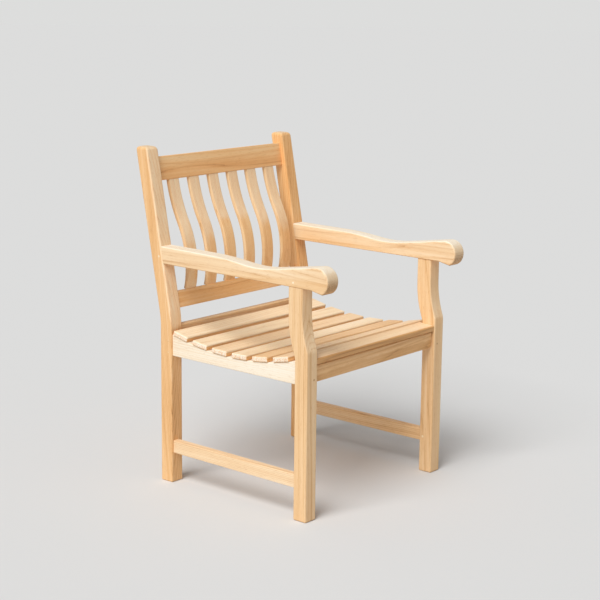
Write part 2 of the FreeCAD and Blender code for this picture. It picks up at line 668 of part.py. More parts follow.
def arm(side_name):
    """An arm that is flat below, dipped on top and ends in a thick round nose."""
    side = SIDES[side_name]
    centre = f"{side}*{ARM_CENTRE}"
    body = new_body(f"arm_{side_name}", across=centre)
    heel = ("-nose_heel_lead", "arm_height")
    flat_rise = "(arm_rear_thickness - arm_flat_fall)"
    dip_rise = f"({flat_rise} - arm_dip_depth)"
    dip = ("arm_dip_place", f"arm_height + {dip_rise}")
    flat = ("arm_flat_place", f"arm_height + {flat_rise}")
    rear_top = (front_of_post("(arm_height + arm_rear_thickness)"), "arm_height + arm_rear_thickness")
    rear_low = (front_of_post("arm_height"), "arm_height")
    nose_centre = (value_of("-nose_lead"), value_of("arm_height + nose_lift"))
    nose_radius = value_of("nose_round")
    to_dip = (value_of(dip[0]) - nose_centre[0], value_of(dip[1]) - nose_centre[1])
    tangent = math.degrees(math.atan2(to_dip[1], to_dip[0]) + math.acos(nose_radius / math.hypot(*to_dip)))
    lip_drop = math.degrees(math.acos(value_of("(nose_lip_lead - nose_lead)/nose_round")))

    sketch = new_sketch(body, "outline")
    underside = add_line(sketch, rear_low, heel)
    lip = add_line(sketch, heel, ("-nose_lip_lead", "arm_height"))
    nose = add_arc(sketch, nose_centre, nose_radius, tangent, HALF_TURN + lip_drop)
    rise = add_line(sketch, ("0", f"{dip[1]} + nose_lift"), dip)
    slope = add_line(sketch, dip, flat)
    top = add_line(sketch, flat, rear_top)
    rear = add_line(sketch, rear_top, rear_low)
    join(sketch, ((underside, 2), (lip, 1)), ((lip, 2), (nose, 2)), ((rise, 2), (slope, 1)),
         ((slope, 2), (top, 1)), ((top, 2), (rear, 1)), ((rear, 2), (underside, 1)))
    for curve, corner in ((underside, rear_low), (lip, heel), (slope, dip), (top, flat), (rear, rear_top)):
        pin(sketch, curve, 1, *corner)
    pin(sketch, nose, 3, "-nose_lead", "arm_height + nose_lift")
    set_radius(sketch, nose, "nose_round")
    pin(sketch, nose, 2, across="-nose_lip_lead")
    sketch.addConstraint(Sketcher.Constraint("Tangent", nose, 1, rise, 1))

    stick = pad(body, "stick", sketch, "arm_width")
    run = "(arm_flat_place - arm_dip_place)"
    room = f"arm_room_share*sqrt({run}^2 + arm_dip_depth^2)"
    slope_angle = f"atan(arm_dip_depth/{run})"
    rise_angle = f"atan((nose_lift + nose_round - {dip_rise})/(arm_dip_place + nose_lead))"
    radius = limited("arm_dip_round", room, f"({rise_angle} + {slope_angle})")
    dipped = dress(body, "Fillet", "dip", stick, corner_edges(stick, *dip), radius)
    fall_angle = f"atan(arm_flat_fall/({rear_top[0]} - arm_flat_place))"
    radius = limited("arm_flat_round", room, f"({slope_angle} - {fall_angle})")
    level = dress(body, "Fillet", "level", dipped, corner_edges(dipped, *flat), radius)
    underside_height = value_of("arm_height") + NEAR
    half = value_of("arm_width/2")

    def on_side(edge):
        middle = edge.CenterOfMass
        return abs(abs(middle.x) - half) < NEAR and edge.BoundBox.XLength < NEAR

    def on_rear(edge):
        return edge.CenterOfMass.y > value_of(rear_low[0]) - NEAR

    def is_low(edge):
        return isinstance(edge.Curve, Part.Line) and edge.BoundBox.ZMax < underside_height

    edges = edges_where(level, lambda edge: on_side(edge) and not on_rear(edge) and not is_low(edge))
    rounded = dress(body, "Fillet", "rounded_top", level, edges, "arm_edge_round")
    edges = edges_where(rounded, lambda edge: on_side(edge) and is_low(edge))
    dress(body, "Fillet", "rounded_underside", rounded, edges, "rail_edge_round")
    shift = f"{side}*({LEG_CENTRE} - {ARM_CENTRE})"
    start = f"({rear_low[0]} - arm_tenon_length)"
    solid_box(
        body, "Additive", "rear_tenon",
        (f"{shift} - arm_tenon_thickness/2", start, "arm_height + arm_tenon_lift"),
        ("arm_tenon_thickness", f"{ARM_TENON_END} - {start}", "arm_tenon_height"),
    )
    solid_box(
        body, "Subtractive", "leg_mortise",
        (f"{shift} - leg_tenon_width/2", f"{UPPER_LEG_CENTRE} - leg_tenon_depth/2", "arm_height"),
        ("leg_tenon_width", "leg_tenon_depth", "leg_tenon_height + mortise_end_gap"),
    )
    bore(body, "front_peg_hole", arm_front_peg(side), centre)
    bore(body, "rear_peg_hole", arm_rear_peg(side), centre)
    return body


def tenons_across(body, tenon_length, middle, low, height):
    """A tenon on each end of a rail that runs across the chair between the legs."""
    for name, start in (("left", f"-{INNER_FACE} - {tenon_length}"), ("right", INNER_FACE)):
        solid_box(
            body, "Additive", f"{name}_tenon",
            (start, f"{middle} - tenon_thickness/2", low), (tenon_length, "tenon_thickness", height),
        )


def rounded_bar(body, outline, length):
    """A straight bar across the chair with its four long edges rounded."""
    bar = pad(body, "bar", outline, length)
    edges = edges_where(bar, lambda edge: is_straight(edge, (1, 0, 0)))
    return dress(body, "Fillet", "rounded_edges", bar, edges, "rail_edge_round")


def rectangle(body, back, low, depth, height):
    """A rectangular YZ outline."""
    rear = f"{back} + {depth}"
    top = f"{low} + {height}"
    return polygon(body, "outline", [(back, low), (rear, low), (rear, top), (back, top)])


def front_rail():
    """The rail under the front slat, with its lower corners rounded and its top cut to the slat's tilt."""
    body = new_body("seat_front_rail")
    rear = "front_rail_set_back + seat_rail_thickness"
    outline = polygon(body, "outline", [
        ("front_rail_set_back", FRONT_RAIL_BOTTOM), (rear, FRONT_RAIL_BOTTOM),
        (rear, under_front_slat(f"({rear})")),
        ("front_rail_set_back", under_front_slat("front_rail_set_back")),
    ])
    bar = pad(body, "bar", outline, f"2*{INNER_FACE}")
    low = value_of(FRONT_RAIL_BOTTOM) + NEAR
    edges = edges_where(bar, lambda edge: is_straight(edge, (0, 1, 0)) and edge.BoundBox.ZMax < low)
    corners = dress(body, "Fillet", "rounded_corners", bar, edges, "front_rail_corner")
    edges = edges_where(corners, lambda edge: is_straight(edge, (1, 0, 0)))
    dress(body, "Fillet", "rounded_edges", corners, edges, "rail_edge_round")
    tenons_across(body, "front_tenon_length", FRONT_RAIL_CENTRE,
                  f"{FRONT_RAIL_BOTTOM} + tenon_shoulder", "front_rail_depth - 2*tenon_shoulder")
    for side_name, side in SIDES.items():
        bore(body, f"peg_hole_{side_name}", front_rail_peg(side))
    for number in range(1, FRONT_SLAT_DOWELS + 1):
        bore(body, f"dowel_hole_{number}", front_dowel(number))
    return body


def rear_rail():
    """The rail behind the rear seat slat."""
    body = new_body("seat_rear_rail")
    front = f"{POST_FRONT} + rear_rail_set_back"
    outline = rectangle(body, front, REAR_RAIL_BOTTOM, "seat_rail_thickness", "rear_rail_depth")
    rounded_bar(body, outline, f"2*{INNER_FACE}")
    tenons_across(body, REAR_TENON_LENGTH, REAR_RAIL_CENTRE,
                  f"{REAR_RAIL_BOTTOM} + tenon_shoulder", "rear_rail_depth - 2*tenon_shoulder")
    for side_name, side in SIDES.items():
        bore(body, f"peg_hole_{side_name}", rear_rail_peg(side))
    return body


def back_rail(rail):
    """A rail of the back, drawn in the raked frame, with a mortise for each slat."""
    rail_centre, low, height = BACK_RAILS[rail]
    body = new_body(f"back_{rail}_rail", back=POST_FRONT, up=KINK_HEIGHT, turn="-back_rake")
    outline = rectangle(body, f"{rail_centre} - back_rail_thickness/2", low, "back_rail_thickness", height)
    rounded_bar(body, outline, f"2*{INNER_FACE}")
    tenons_across(body, "back_tenon_length", rail_centre,
                  f"{low} + tenon_shoulder", f"{height} - 2*tenon_shoulder")
    slat_tenon_centre, start = {
        "top": (SLAT_TOP_CENTRE, low),
        "lower": (LOWER_RAIL_CENTRE, f"{LOWER_RAIL_TOP} - slat_tenon_length - mortise_end_gap"),
    }[rail]
    for number in range(1, BACK_SLATS + 1):
        across = f"{back_slat_place(number)} - {SLAT_TENON_WIDTH}/2"
        solid_box(
            body, "Subtractive", f"slat_mortise_{number}",
            (across, f"{slat_tenon_centre} - slat_tenon_thickness/2", start),
            (SLAT_TENON_WIDTH, "slat_tenon_thickness", "slat_tenon_length + mortise_end_gap"),
        )
    for side_name, side in SIDES.items():
        bore(body, f"peg_hole_{side_name}", back_rail_peg(side, rail, raked=True))
    return body


def back_slat(number):
    """An upright slat of two arcs: a belly that meets the sitter's back and a hollow above it."""
    body = new_body(f"back_slat_{number}", across=back_slat_place(number),
                    back=POST_FRONT, up=KINK_HEIGHT, turn="-back_rake")
    low = (value_of(SLAT_LOW_FACE), value_of(LOWER_RAIL_TOP))
    high = (value_of(SLAT_TOP_FACE), value_of(TOP_RAIL_PLACE))
    belly = value_of("belly_round")
    hollow = value_of("hollow_round")
    thickness = value_of("back_slat_thickness")
    hollow_centre = (high[0] - hollow, high[1])
    # The belly's centre is one belly radius from the foot and both radii from the hollow's centre.
    reach = math.dist(low, hollow_centre)
    along = (belly**2 - (belly + hollow)**2 + reach**2) / (2 * reach)
    beside = math.sqrt(belly**2 - along**2)
    step = ((hollow_centre[0] - low[0]) / reach, (hollow_centre[1] - low[1]) / reach)
    belly_centre = (low[0] + along * step[0] + beside * step[1],
                    low[1] + along * step[1] - beside * step[0])
    turn = math.degrees(math.atan2(hollow_centre[1] - belly_centre[1], hollow_centre[0] - belly_centre[0]))
    foot = math.degrees(math.atan2(low[1] - belly_centre[1], low[0] - belly_centre[0]))

    sketch = new_sketch(body, "outline")
    front_belly = add_arc(sketch, belly_centre, belly, turn, foot)
    front_hollow = add_arc(sketch, hollow_centre, hollow, turn - HALF_TURN, 0)
    rear_belly = add_arc(sketch, belly_centre, belly - thickness, turn, foot)
    rear_hollow = add_arc(sketch, hollow_centre, hollow + thickness, turn - HALF_TURN, 0)
    head_line = add_line(sketch, (SLAT_TOP_FACE, TOP_RAIL_PLACE),
                         (f"{SLAT_TOP_FACE} + back_slat_thickness", TOP_RAIL_PLACE))
    foot_line = add_line(sketch, (SLAT_LOW_FACE, LOWER_RAIL_TOP),
                         (f"{SLAT_LOW_FACE} + back_slat_thickness", LOWER_RAIL_TOP))
    centres = sketch.addGeometry(
        Part.LineSegment(FreeCAD.Vector(*belly_centre, 0), FreeCAD.Vector(*hollow_centre, 0)), True)
    join(sketch, ((front_belly, 1), (front_hollow, 1)), ((front_hollow, 2), (head_line, 1)),
         ((head_line, 2), (rear_hollow, 2)), ((rear_hollow, 1), (rear_belly, 1)),
         ((rear_belly, 2), (foot_line, 2)), ((foot_line, 1), (front_belly, 2)))
    join(sketch, ((front_belly, 3), (centres, 1)), ((rear_belly, 3), (centres, 1)),
         ((front_hollow, 3), (centres, 2)), ((rear_hollow, 3), (centres, 2)))
    for curve in (front_belly, rear_belly):
        sketch.addConstraint(Sketcher.Constraint("PointOnObject", curve, 1, centres))
    for line in (head_line, foot_line):
        sketch.addConstraint(Sketcher.Constraint("Horizontal", line))
    pin(sketch, foot_line, 1, SLAT_LOW_FACE, LOWER_RAIL_TOP)
    pin(sketch, head_line, 1, SLAT_TOP_FACE, TOP_RAIL_PLACE)
    pin(sketch, centres, 2, up=TOP_RAIL_PLACE)
    set_radius(sketch, front_belly, "belly_round")
    set_radius(sketch, front_hollow, "hollow_round")
    set_radius(sketch, rear_belly, "belly_round - back_slat_thickness")

    stick = pad(body, "stick", sketch, "back_slat_width")
    edges = long_edges(stick, "back_slat_width", LOWER_RAIL_TOP, TOP_RAIL_PLACE)
    dress(body, "Fillet", "rounded_edges", stick, edges, "rail_edge_round")
    for name, middle, start in (("upper", SLAT_TOP_CENTRE, TOP_RAIL_PLACE),
                                ("lower", LOWER_RAIL_CENTRE, f"{LOWER_RAIL_TOP} - slat_tenon_length")):
        solid_box(
            body, "Additive", f"{name}_tenon",
            (f"-{SLAT_TENON_WIDTH}/2", f"{middle} - slat_tenon_thickness/2", start),
            (SLAT_TENON_WIDTH, "slat_tenon_thickness", "slat_tenon_length"),
        )
    return body


def side_rail(side_name):
    """The rail under the ends of the seat slats, flat below and dished on top."""
    side = SIDES[side_name]
    centre = f"{side}*{SIDE_RAIL_CENTRE}"
    body = new_body(f"seat_side_rail_{side_name}", across=centre)
    front = "front_leg_depth"
    sketch = new_sketch(body, "outline")
    bottom = add_line(sketch, (front, SIDE_RAIL_BOTTOM), (POST_FRONT, SIDE_RAIL_BOTTOM))
    rear_end = add_line(sketch, (POST_FRONT, SIDE_RAIL_BOTTOM), (POST_FRONT, rail_top(POST_FRONT)))
    front_end = add_line(sketch, (front, rail_top(front)), (front, SIDE_RAIL_BOTTOM))
    dish_centre = (value_of(DISH_PLACE), value_of(DISH_CENTRE))
    angles = [math.degrees(math.atan2(value_of(rail_top(back)) - dish_centre[1],
                                      value_of(back) - dish_centre[0])) for back in (front, POST_FRONT)]
    dish = add_arc(sketch, dish_centre, value_of(RAIL_DISH_ROUND), *angles)
    join(sketch, ((bottom, 2), (rear_end, 1)), ((rear_end, 2), (dish, 2)),
         ((dish, 1), (front_end, 1)), ((front_end, 2), (bottom, 1)))
    for line in (rear_end, front_end):
        sketch.addConstraint(Sketcher.Constraint("Vertical", line))
    pin(sketch, bottom, 1, front, SIDE_RAIL_BOTTOM)
    pin(sketch, bottom, 2, POST_FRONT, SIDE_RAIL_BOTTOM)
    pin(sketch, dish, 3, DISH_PLACE, DISH_CENTRE)
    set_radius(sketch, dish, RAIL_DISH_ROUND)

    board = pad(body, "board", sketch, "seat_rail_thickness")
    edges = edges_where(board, lambda edge: edge.BoundBox.YLength > NEAR)
    dress(body, "Fillet", "rounded_edges", board, edges, "rail_edge_round")
    low = f"{SIDE_RAIL_BOTTOM} + tenon_shoulder"
    solid_box(
        body, "Additive", "front_tenon", ("-tenon_thickness/2", f"{front} - {SHORT_TENON_LENGTH}", low),
        ("tenon_thickness", SHORT_TENON_LENGTH, FRONT_SIDE_TENON_HEIGHT),
    )
    solid_box(
        body, "Additive", "rear_tenon", ("-tenon_thickness/2", POST_FRONT, low),
        ("tenon_thickness", "side_tenon_length", REAR_SIDE_TENON_HEIGHT),
    )
    for number, fastener in enumerate(side_rail_pegs(side), start=1):
        bore(body, f"peg_hole_{number}", fastener, centre)
    for number in range(1, SEAT_SLATS + 1):
        bore(body, f"dowel_hole_{number}", seat_dowel(side, number), centre)
    return body


def side_stretcher(side_name):
    """The low rail between a front and a rear leg."""
    side = SIDES[side_name]
    centre = f"{side}*{STRETCHER_CENTRE}"
    body = new_body(f"side_stretcher_{side_name}", across=centre)
    rear = POST_FRONT
    outline = rectangle(body, "front_leg_depth", "stretcher_height",
                        f"{rear} - front_leg_depth", "stretcher_depth")
    board = pad(body, "board", outline, "stretcher_thickness")
    edges = edges_where(board, lambda edge: is_straight(edge, (0, 1, 0)))
    dress(body, "Fillet", "rounded_edges", board, edges, "rail_edge_round")
    for end, start in (("front", "front_leg_depth - side_tenon_length"), ("rear", rear)):
        solid_box(
            body, "Additive", f"{end}_tenon",
            ("-tenon_thickness/2", start, "stretcher_height + tenon_shoulder"),
            ("tenon_thickness", "side_tenon_length", "stretcher_depth - 2*tenon_shoulder"),
        )
        bore(body, f"{end}_peg_hole", stretcher_peg(side, end), centre)
    return body


def seat_slat(number):
    """A slat across the side rails, with every edge rounded and its ends free."""
    back, up = seat_point(number, "0")
    body = new_body(f"seat_slat_{number}", back=back, up=up, turn=seat_slat_slope(number))
    half_length = f"({SIDE_RAIL_CENTRE} + seat_rail_thickness/2 + seat_slat_overhang)"
    board = solid_box(
        body, "Additive", "board", (f"-{half_length}", f"-{SEAT_SLAT_WIDTH}/2", "-seat_slat_thickness"),
        (f"2*{half_length}", SEAT_SLAT_WIDTH, "seat_slat_thickness"),
    )
    doc.recompute()
    dress(body, "Fillet", "rounded_edges", board, edges_where(board, lambda edge: True), "slat_edge_round")
    for side_name, side in SIDES.items():
        bore(body, f"dowel_hole_{side_name}", seat_dowel(side, number, on_slat=True))
    return body


def front_slat():
    """The slat over the front rail, between the front legs, with a round nose."""
    body = new_body("seat_slat_front", back="front_slat_lead", up=FRONT_SLAT_HEIGHT,
                    turn="front_slat_tilt")
    half_length = f"({INNER_FACE} - front_slat_end_gap)"
    board = solid_box(
        body, "Additive", "board", (f"-{half_length}", "0", "-front_slat_thickness"),
        (f"2*{half_length}", "front_slat_width", "front_slat_thickness"),
    )
    doc.recompute()
    edges = edges_where(board, lambda edge: is_straight(edge, (1, 0, 0)) and edge.BoundBox.YMax < NEAR)
    radius = "min(front_slat_nose_round; nose_wall_share*front_slat_thickness)"
    nose = dress(body, "Fillet", "nose", board, edges, radius)
    rear = value_of("front_slat_width") - NEAR
    edges = edges_where(nose, lambda edge: is_straight(edge, (1, 0, 0)) and edge.BoundBox.YMin > rear)
    dress(body, "Fillet", "rounded_rear_edges", nose, edges, "slat_edge_round")
    for number in range(1, FRONT_SLAT_DOWELS + 1):
        bore(body, f"dowel_hole_{number}", front_dowel(number, on_slat=True))
    return body


def all_fasteners():
    """Pegs and dowels, one group for each kind of joint."""
    sides = SIDES.values()
    groups = {
        "arm_pegs": [make(side) for side in sides for make in (arm_front_peg, arm_rear_peg)],
        "front_rail_pegs": [front_rail_peg(side) for side in sides],
        "side_rail_pegs": [fastener for side in sides for fastener in side_rail_pegs(side)],
        "rear_rail_pegs": [rear_rail_peg(side) for side in sides],
        "back_rail_pegs": [back_rail_peg(side, rail) for side in sides for rail in BACK_RAILS],
        "stretcher_pegs": [stretcher_peg(side, end) for side in sides for end in ("front", "rear")],
        "front_slat_dowels": [front_dowel(number) for number in range(1, FRONT_SLAT_DOWELS + 1)],
    }
    for side_name, side in SIDES.items():
        dowels = [seat_dowel(side, number) for number in range(1, SEAT_SLATS + 1)]
        groups[f"seat_slat_dowels_{side_name}"] = dowels
    return [fastener_group(name, fasteners) for name, fasteners in groups.items()]


def all_pieces():
    """Every sub-part of the chair."""
    pairs = (front_leg, rear_leg, arm, side_rail, side_stretcher)
    pieces = [make(side_name) for make in pairs for side_name in SIDES]
    pieces += [front_rail(), rear_rail(), front_slat()]
    pieces += [back_rail(rail) for rail in BACK_RAILS]
    pieces += [back_slat(number) for number in range(1, BACK_SLATS + 1)]
    pieces += [seat_slat(number) for number in range(1, SEAT_SLATS + 1)]
    return pieces + all_fasteners()


def export(sub_parts):
    """Check that nothing failed, then write each sub-part to its own file."""
    doc.recompute()
    failed = [item.Label for item in doc.Objects if {"Invalid", "Error"} & set(item.State)]
    failed += [item.Label for item in sub_parts if item.Shape.isNull() or not item.Shape.isValid()]
    if failed:
        raise RuntimeError("failed: " + ", ".join(failed))
    os.makedirs("parts", exist_ok=True)
    for sub_part in sub_parts:
        sub_part.Shape.exportStep(f"parts/{sub_part.Label}.step")
        print(sub_part.Label, len(sub_part.Shape.Solids), "solids", round(sub_part.Shape.Volume), "mm3")


export(all_pieces())
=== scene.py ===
# %% [markdown]
# This lesson dresses a slatted teak armchair. The measured model of the chair is the fixed frame: it gives
# every stick its place, and each stick is then modelled again here with finer edges, a smooth surface and
# its own figure of grain. The size of the frame is kept.

# %% Load the frame
import math
import random
from collections import namedtuple

import bmesh
import bpy
import numpy
from mathutils import Euler, Matrix, Vector


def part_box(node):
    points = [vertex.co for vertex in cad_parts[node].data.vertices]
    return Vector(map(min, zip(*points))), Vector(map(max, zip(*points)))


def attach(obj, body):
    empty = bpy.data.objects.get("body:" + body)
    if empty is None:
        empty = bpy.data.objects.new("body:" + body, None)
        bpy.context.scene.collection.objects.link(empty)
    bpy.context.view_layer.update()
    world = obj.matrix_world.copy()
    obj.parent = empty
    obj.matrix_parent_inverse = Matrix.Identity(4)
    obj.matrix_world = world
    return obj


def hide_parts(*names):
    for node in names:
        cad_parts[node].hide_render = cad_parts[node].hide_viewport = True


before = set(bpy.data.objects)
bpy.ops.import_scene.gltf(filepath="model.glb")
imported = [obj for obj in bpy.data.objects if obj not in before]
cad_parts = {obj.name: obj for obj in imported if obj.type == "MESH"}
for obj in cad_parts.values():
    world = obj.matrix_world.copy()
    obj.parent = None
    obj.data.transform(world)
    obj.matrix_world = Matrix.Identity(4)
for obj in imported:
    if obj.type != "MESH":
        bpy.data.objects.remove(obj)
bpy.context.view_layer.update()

bpy.ops.object.select_all(action="DESELECT")

# %% [markdown]
# A joiner's drawing starts at the floor, under the front face of the front feet, and is written in
# millimetres: across the chair, back from the feet, and up. One function turns such a place into metres in
# the frame, so every number below can be checked with a tape measure.

# %% Places on the drawing
MM = 0.001
FRONT_OF_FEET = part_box("front_leg_left")[0].y


def at(across, back, up):
    """A place on the drawing, in millimetres, as metres in the frame."""
    return Vector((across * MM, FRONT_OF_FEET + back * MM, up * MM))


SIDES = {"left": -1, "right": 1}
HALF_WIDTH = 305
LEG_WIDTH = 43
LEG_CENTRE = HALF_WIDTH - LEG_WIDTH / 2
INNER_FACE = HALF_WIDTH - LEG_WIDTH
FRONT_LEG_DEPTH = 43.5
POST_FRONT = 497
POST_DEPTH = 43
KINK_HEIGHT = 478
ARM_HEIGHT = 631
CHAIR_HEIGHT = 951
RAKE = math.radians(11)
UP_THE_BACK = Vector((0, math.sin(RAKE), math.cos(RAKE)))
BEHIND_THE_BACK = Vector((0, math.cos(RAKE), -math.sin(RAKE)))
print("front of the feet at y =", round(FRONT_OF_FEET, 5), "between the legs:", 2 * INNER_FACE, "mm")

# %% [markdown]
# The sticks of this chair are sawn to a curve on two faces and stay flat on the other two, so a stick is
# drawn as two lines. Each corner of a line is rounded to the radius of the real bend with a few short
# chords, and the stick gets a station, which is a cross-section, wherever one of its lines has a point.

# %% The two lines of a stick
ARC_STEPS = 7


def eased_line(corners, radii):
    """Points along a line, with each inner corner rounded to its radius."""
    points = [Vector(corners[0])]
    for before, corner, after, radius in zip(corners, corners[1:], corners[2:], radii):
        corner = Vector(corner)
        arriving = (Vector(before) - corner).normalized()
        leaving = (Vector(after) - corner).normalized()
        half = arriving.angle(leaving) / 2
        centre = corner + (arriving + leaving).normalized() * radius / math.sin(half)
        spokes = [corner + way * radius / math.tan(half) - centre for way in (arriving, leaving)]
        for step in range(ARC_STEPS + 1):
            spoke = spokes[0].lerp(spokes[1], step / ARC_STEPS)
            points.append(centre + spoke.normalized() * radius)
    points.append(Vector(corners[-1]))
    return [tuple(point) for point in points]


def stations(low_line, high_line, along):
    """Cross-sections wherever one of two lines has a point: place, low side and high side."""
    places = sorted({round(point[along], 2) for point in low_line + high_line})
    sides = []
    for line in (low_line, high_line):
        ordered = sorted(line, key=lambda point: point[along])
        sides.append(numpy.interp(places, [point[along] for point in ordered],
                                  [point[1 - along] for point in ordered]))
    return [(place, float(low), float(high)) for place, low, high in zip(places, *sides)]


print("points of a line with one rounded corner:", len(eased_line([(0, 0), (0, 9), (9, 9)], (3,))))

# %% [markdown]
# Such a stick could be bent from a straight bar or lofted through rings. It is pulled instead: a flat plane
# is added at one end, then extruded and stretched from station to station, as the saw would travel. The
# strips that this leaves on the two flat faces are dissolved into one face each.

# %% Pull a stick
SQUARELY = 0.99


def use(piece):
    """Make one piece the only selected and active one."""
    bpy.ops.object.select_all(action="DESELECT")
    piece.select_set(True)
    bpy.context.view_layer.objects.active = piece


def settle(piece):
    """Move a piece's place, turn and size into its mesh."""
    use(piece)
    bpy.ops.object.transform_apply(location=True, rotation=True, scale=True)


def pick(piece, kind, chosen):
    """In edit mode, select only those faces or edges that pass a test."""
    bpy.ops.mesh.select_mode(type=kind)
    bpy.ops.mesh.select_all(action="DESELECT")
    mesh = bmesh.from_edit_mesh(piece.data)
    for part in mesh.faces if kind == "FACE" else mesh.edges:
        if chosen(part):
            part.select_set(True)
    bmesh.update_edit_mesh(piece.data)


def pull_stick(name, middle, width, sections, upright):
    """Pull a stick through its cross-sections, upright or from front to back."""
    def centre_of(section):
        place, low, high = section
        across_depth = (low + high) / 2
        return at(middle, across_depth, place) if upright else at(middle, place, across_depth)

    first = sections[0]
    stand = 0 if upright else math.radians(90)
    bpy.ops.mesh.primitive_plane_add(size=1, location=centre_of(first), rotation=(stand, 0, 0))
    stick = bpy.context.active_object
    stick.name = stick.data.name = name
    stick.scale = (width * MM, (first[2] - first[1]) * MM, 1)
    settle(stick)
    bpy.ops.object.mode_set(mode="EDIT")
    bpy.ops.mesh.select_mode(type="FACE")
    bpy.ops.mesh.select_all(action="SELECT")
    for before, section in zip(sections, sections[1:]):
        step = centre_of(section) - centre_of(before)
        bpy.ops.mesh.extrude_region_move(TRANSFORM_OT_translate={"value": step})
        grow = (section[2] - section[1]) / (before[2] - before[1])
        value = (1, grow, 1) if upright else (1, 1, grow)
        bpy.ops.transform.resize(value=value, center_override=centre_of(section))
    for sign in (-1, 1):
        pick(stick, "FACE", lambda face: face.normal.x * sign > SQUARELY)
        bpy.ops.mesh.dissolve_faces(use_verts=False)
    bpy.ops.mesh.select_all(action="SELECT")
    bpy.ops.mesh.normals_make_consistent(inside=False)
    bpy.ops.object.mode_set(mode="OBJECT")
    return stick


print("a face is square to an axis within", round(math.degrees(math.acos(SQUARELY)), 1), "degrees")

# %% [markdown]
# No edge of real teak furniture is sharp, except where one stick butts against another. A Bevel modifier
# rounds them all at once. How much an edge is rounded is written on it as a bevel weight: a post's top gets
# more than its long edges, and a butt end gets none, so that the joint stays tight. Weighted normals then
# keep the broad faces flat in the light between the rounded edges.

# %% Ease the edges of a piece
EDGE_STEPS = 4
SHARP = math.radians(30)
PULL_OF_BROAD_FACES = 80


def apply_modifier(piece, kind, **settings):
    """Add a modifier, set it up and apply it."""
    use(piece)
    bpy.ops.object.modifier_add(type=kind)
    modifier = piece.modifiers[-1]
    for key, value in settings.items():
        setattr(modifier, key, value)
    bpy.ops.object.modifier_apply(modifier=modifier.name)


def butt_ends(axis, *places):
    """A share for ease(): no rounding on edges that lie across an axis at one of these places."""
    def share(start, end):
        for place in places:
            if max(abs(start[axis] - place), abs(end[axis] - place)) < MM / 2:
                return 0
        return 1
    return share


def ease(piece, radius, share=lambda start, end: 1):
    """Round the sharp edges, each by its share of the radius, and smooth the surface."""
    use(piece)
    bpy.ops.object.mode_set(mode="EDIT")
    mesh = bmesh.from_edit_mesh(piece.data)
    weight = mesh.edges.layers.float.new("bevel_weight_edge")
    for edge in mesh.edges:
        if edge.calc_face_angle(0) > SHARP:
            edge[weight] = share(*[vertex.co for vertex in edge.verts])
    bmesh.update_edit_mesh(piece.data)
    bpy.ops.object.mode_set(mode="OBJECT")
    apply_modifier(piece, "BEVEL", width=radius * MM, segments=EDGE_STEPS, limit_method="WEIGHT",
                   use_clamp_overlap=False)
    bpy.ops.object.shade_smooth_by_angle(angle=SHARP)
    apply_modifier(piece, "WEIGHTED_NORMAL", keep_sharp=True, weight=PULL_OF_BROAD_FACES)


print("edges sharper than", round(math.degrees(SHARP)), "degrees are eased in", EDGE_STEPS, "steps")

# %% [markdown]
# A finished piece gets its material and takes the place of its node in the frame. What repeats is modelled
# once and copied. A linked copy would share its mesh with the first, so each copy gets a mesh of its own.

# %% Fit and copy a piece
def fit(piece, material, node):
    """Give a piece its finish and let it stand for a node of the frame."""
    piece.data.materials.clear()
    piece.data.materials.append(material)
    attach(piece, "root")
    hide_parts(node)


def copy_of(piece, name):
    """A copy with its own mesh."""
    use(piece)
    bpy.ops.object.duplicate(linked=False)
    copy = bpy.context.active_object
    copy.name = copy.data.name = name
    return copy


print("nodes that wait for a finish:", len(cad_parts))

# %% [markdown]
# Fresh teak is golden brown. Three things make its figure: growth rings, which show as fine lines or as
# long arches; fibres and short dark pores that run along the grain; and slow changes of colour. An image
# could be wrapped round each stick, but then the rings would break at every edge. So the figure is made in
# space from Object coordinates: each stick is cut from its own place in one imaginary log, as a saw does.
# It takes many nodes, so a few helpers add one, feed its inputs and hand on its result.

# %% Helpers for shader nodes
def feed(tree, value, socket):
    """Set a socket to plain numbers, or join it to the socket that the value is."""
    if isinstance(value, bpy.types.NodeSocket):
        tree.links.new(value, socket)
    else:
        socket.default_value = value


def add_node(tree, kind, inputs=None, **settings):
    """Add a shader node with some of its settings, then feed some of its inputs."""
    node = tree.nodes.new(kind)
    for key, value in settings.items():
        setattr(node, key, value)
    for name, value in (inputs or {}).items():
        feed(tree, value, node.inputs[name])
    return node


def math_of(tree, operation, *values):
    """What a Math node makes of some values."""
    return add_node(tree, "ShaderNodeMath", dict(enumerate(values)), operation=operation).outputs[0]


def vector_of(tree, operation, *values):
    """The outputs of a Vector Math node that is fed some values."""
    return add_node(tree, "ShaderNodeVectorMath", dict(enumerate(values)), operation=operation).outputs


def part_of(tree, vector, axis):
    """One number of a vector: X, Y or Z."""
    return add_node(tree, "ShaderNodeSeparateXYZ", {0: vector}).outputs[axis]


def noise_of(tree, vector, waves, detail):
    """The outputs of noise that is drawn out along the grain."""
    place = vector_of(tree, "MULTIPLY", vector, waves)["Vector"]
    return add_node(tree, "ShaderNodeTexNoise", {"Vector": place, "Scale": 1, "Detail": detail}).outputs


def range_of(tree, value, low, high, start=0, end=1, way="LINEAR"):
    """A level that goes from its start to its end while a value rises from low to high."""
    inputs = {"Value": value, "From Min": low, "From Max": high, "To Min": start, "To Max": end}
    return add_node(tree, "ShaderNodeMapRange", inputs, interpolation_type=way).outputs["Result"]


def ramp_of(tree, level, stops):
    """Colours for a level from 0 to 1; each stop is a position and its colour."""
    ramp = add_node(tree, "ShaderNodeValToRGB", {"Fac": level})
    elements = ramp.color_ramp.elements
    for element, (position, colour) in zip(elements, (stops[0], stops[-1])):
        element.position = position
        element.color = (*colour, 1)
    for position, colour in stops[1:-1]:
        elements.new(position).color = (*colour, 1)
    return ramp.outputs["Color"]


print("materials before the first finish:", len(bpy.data.materials))

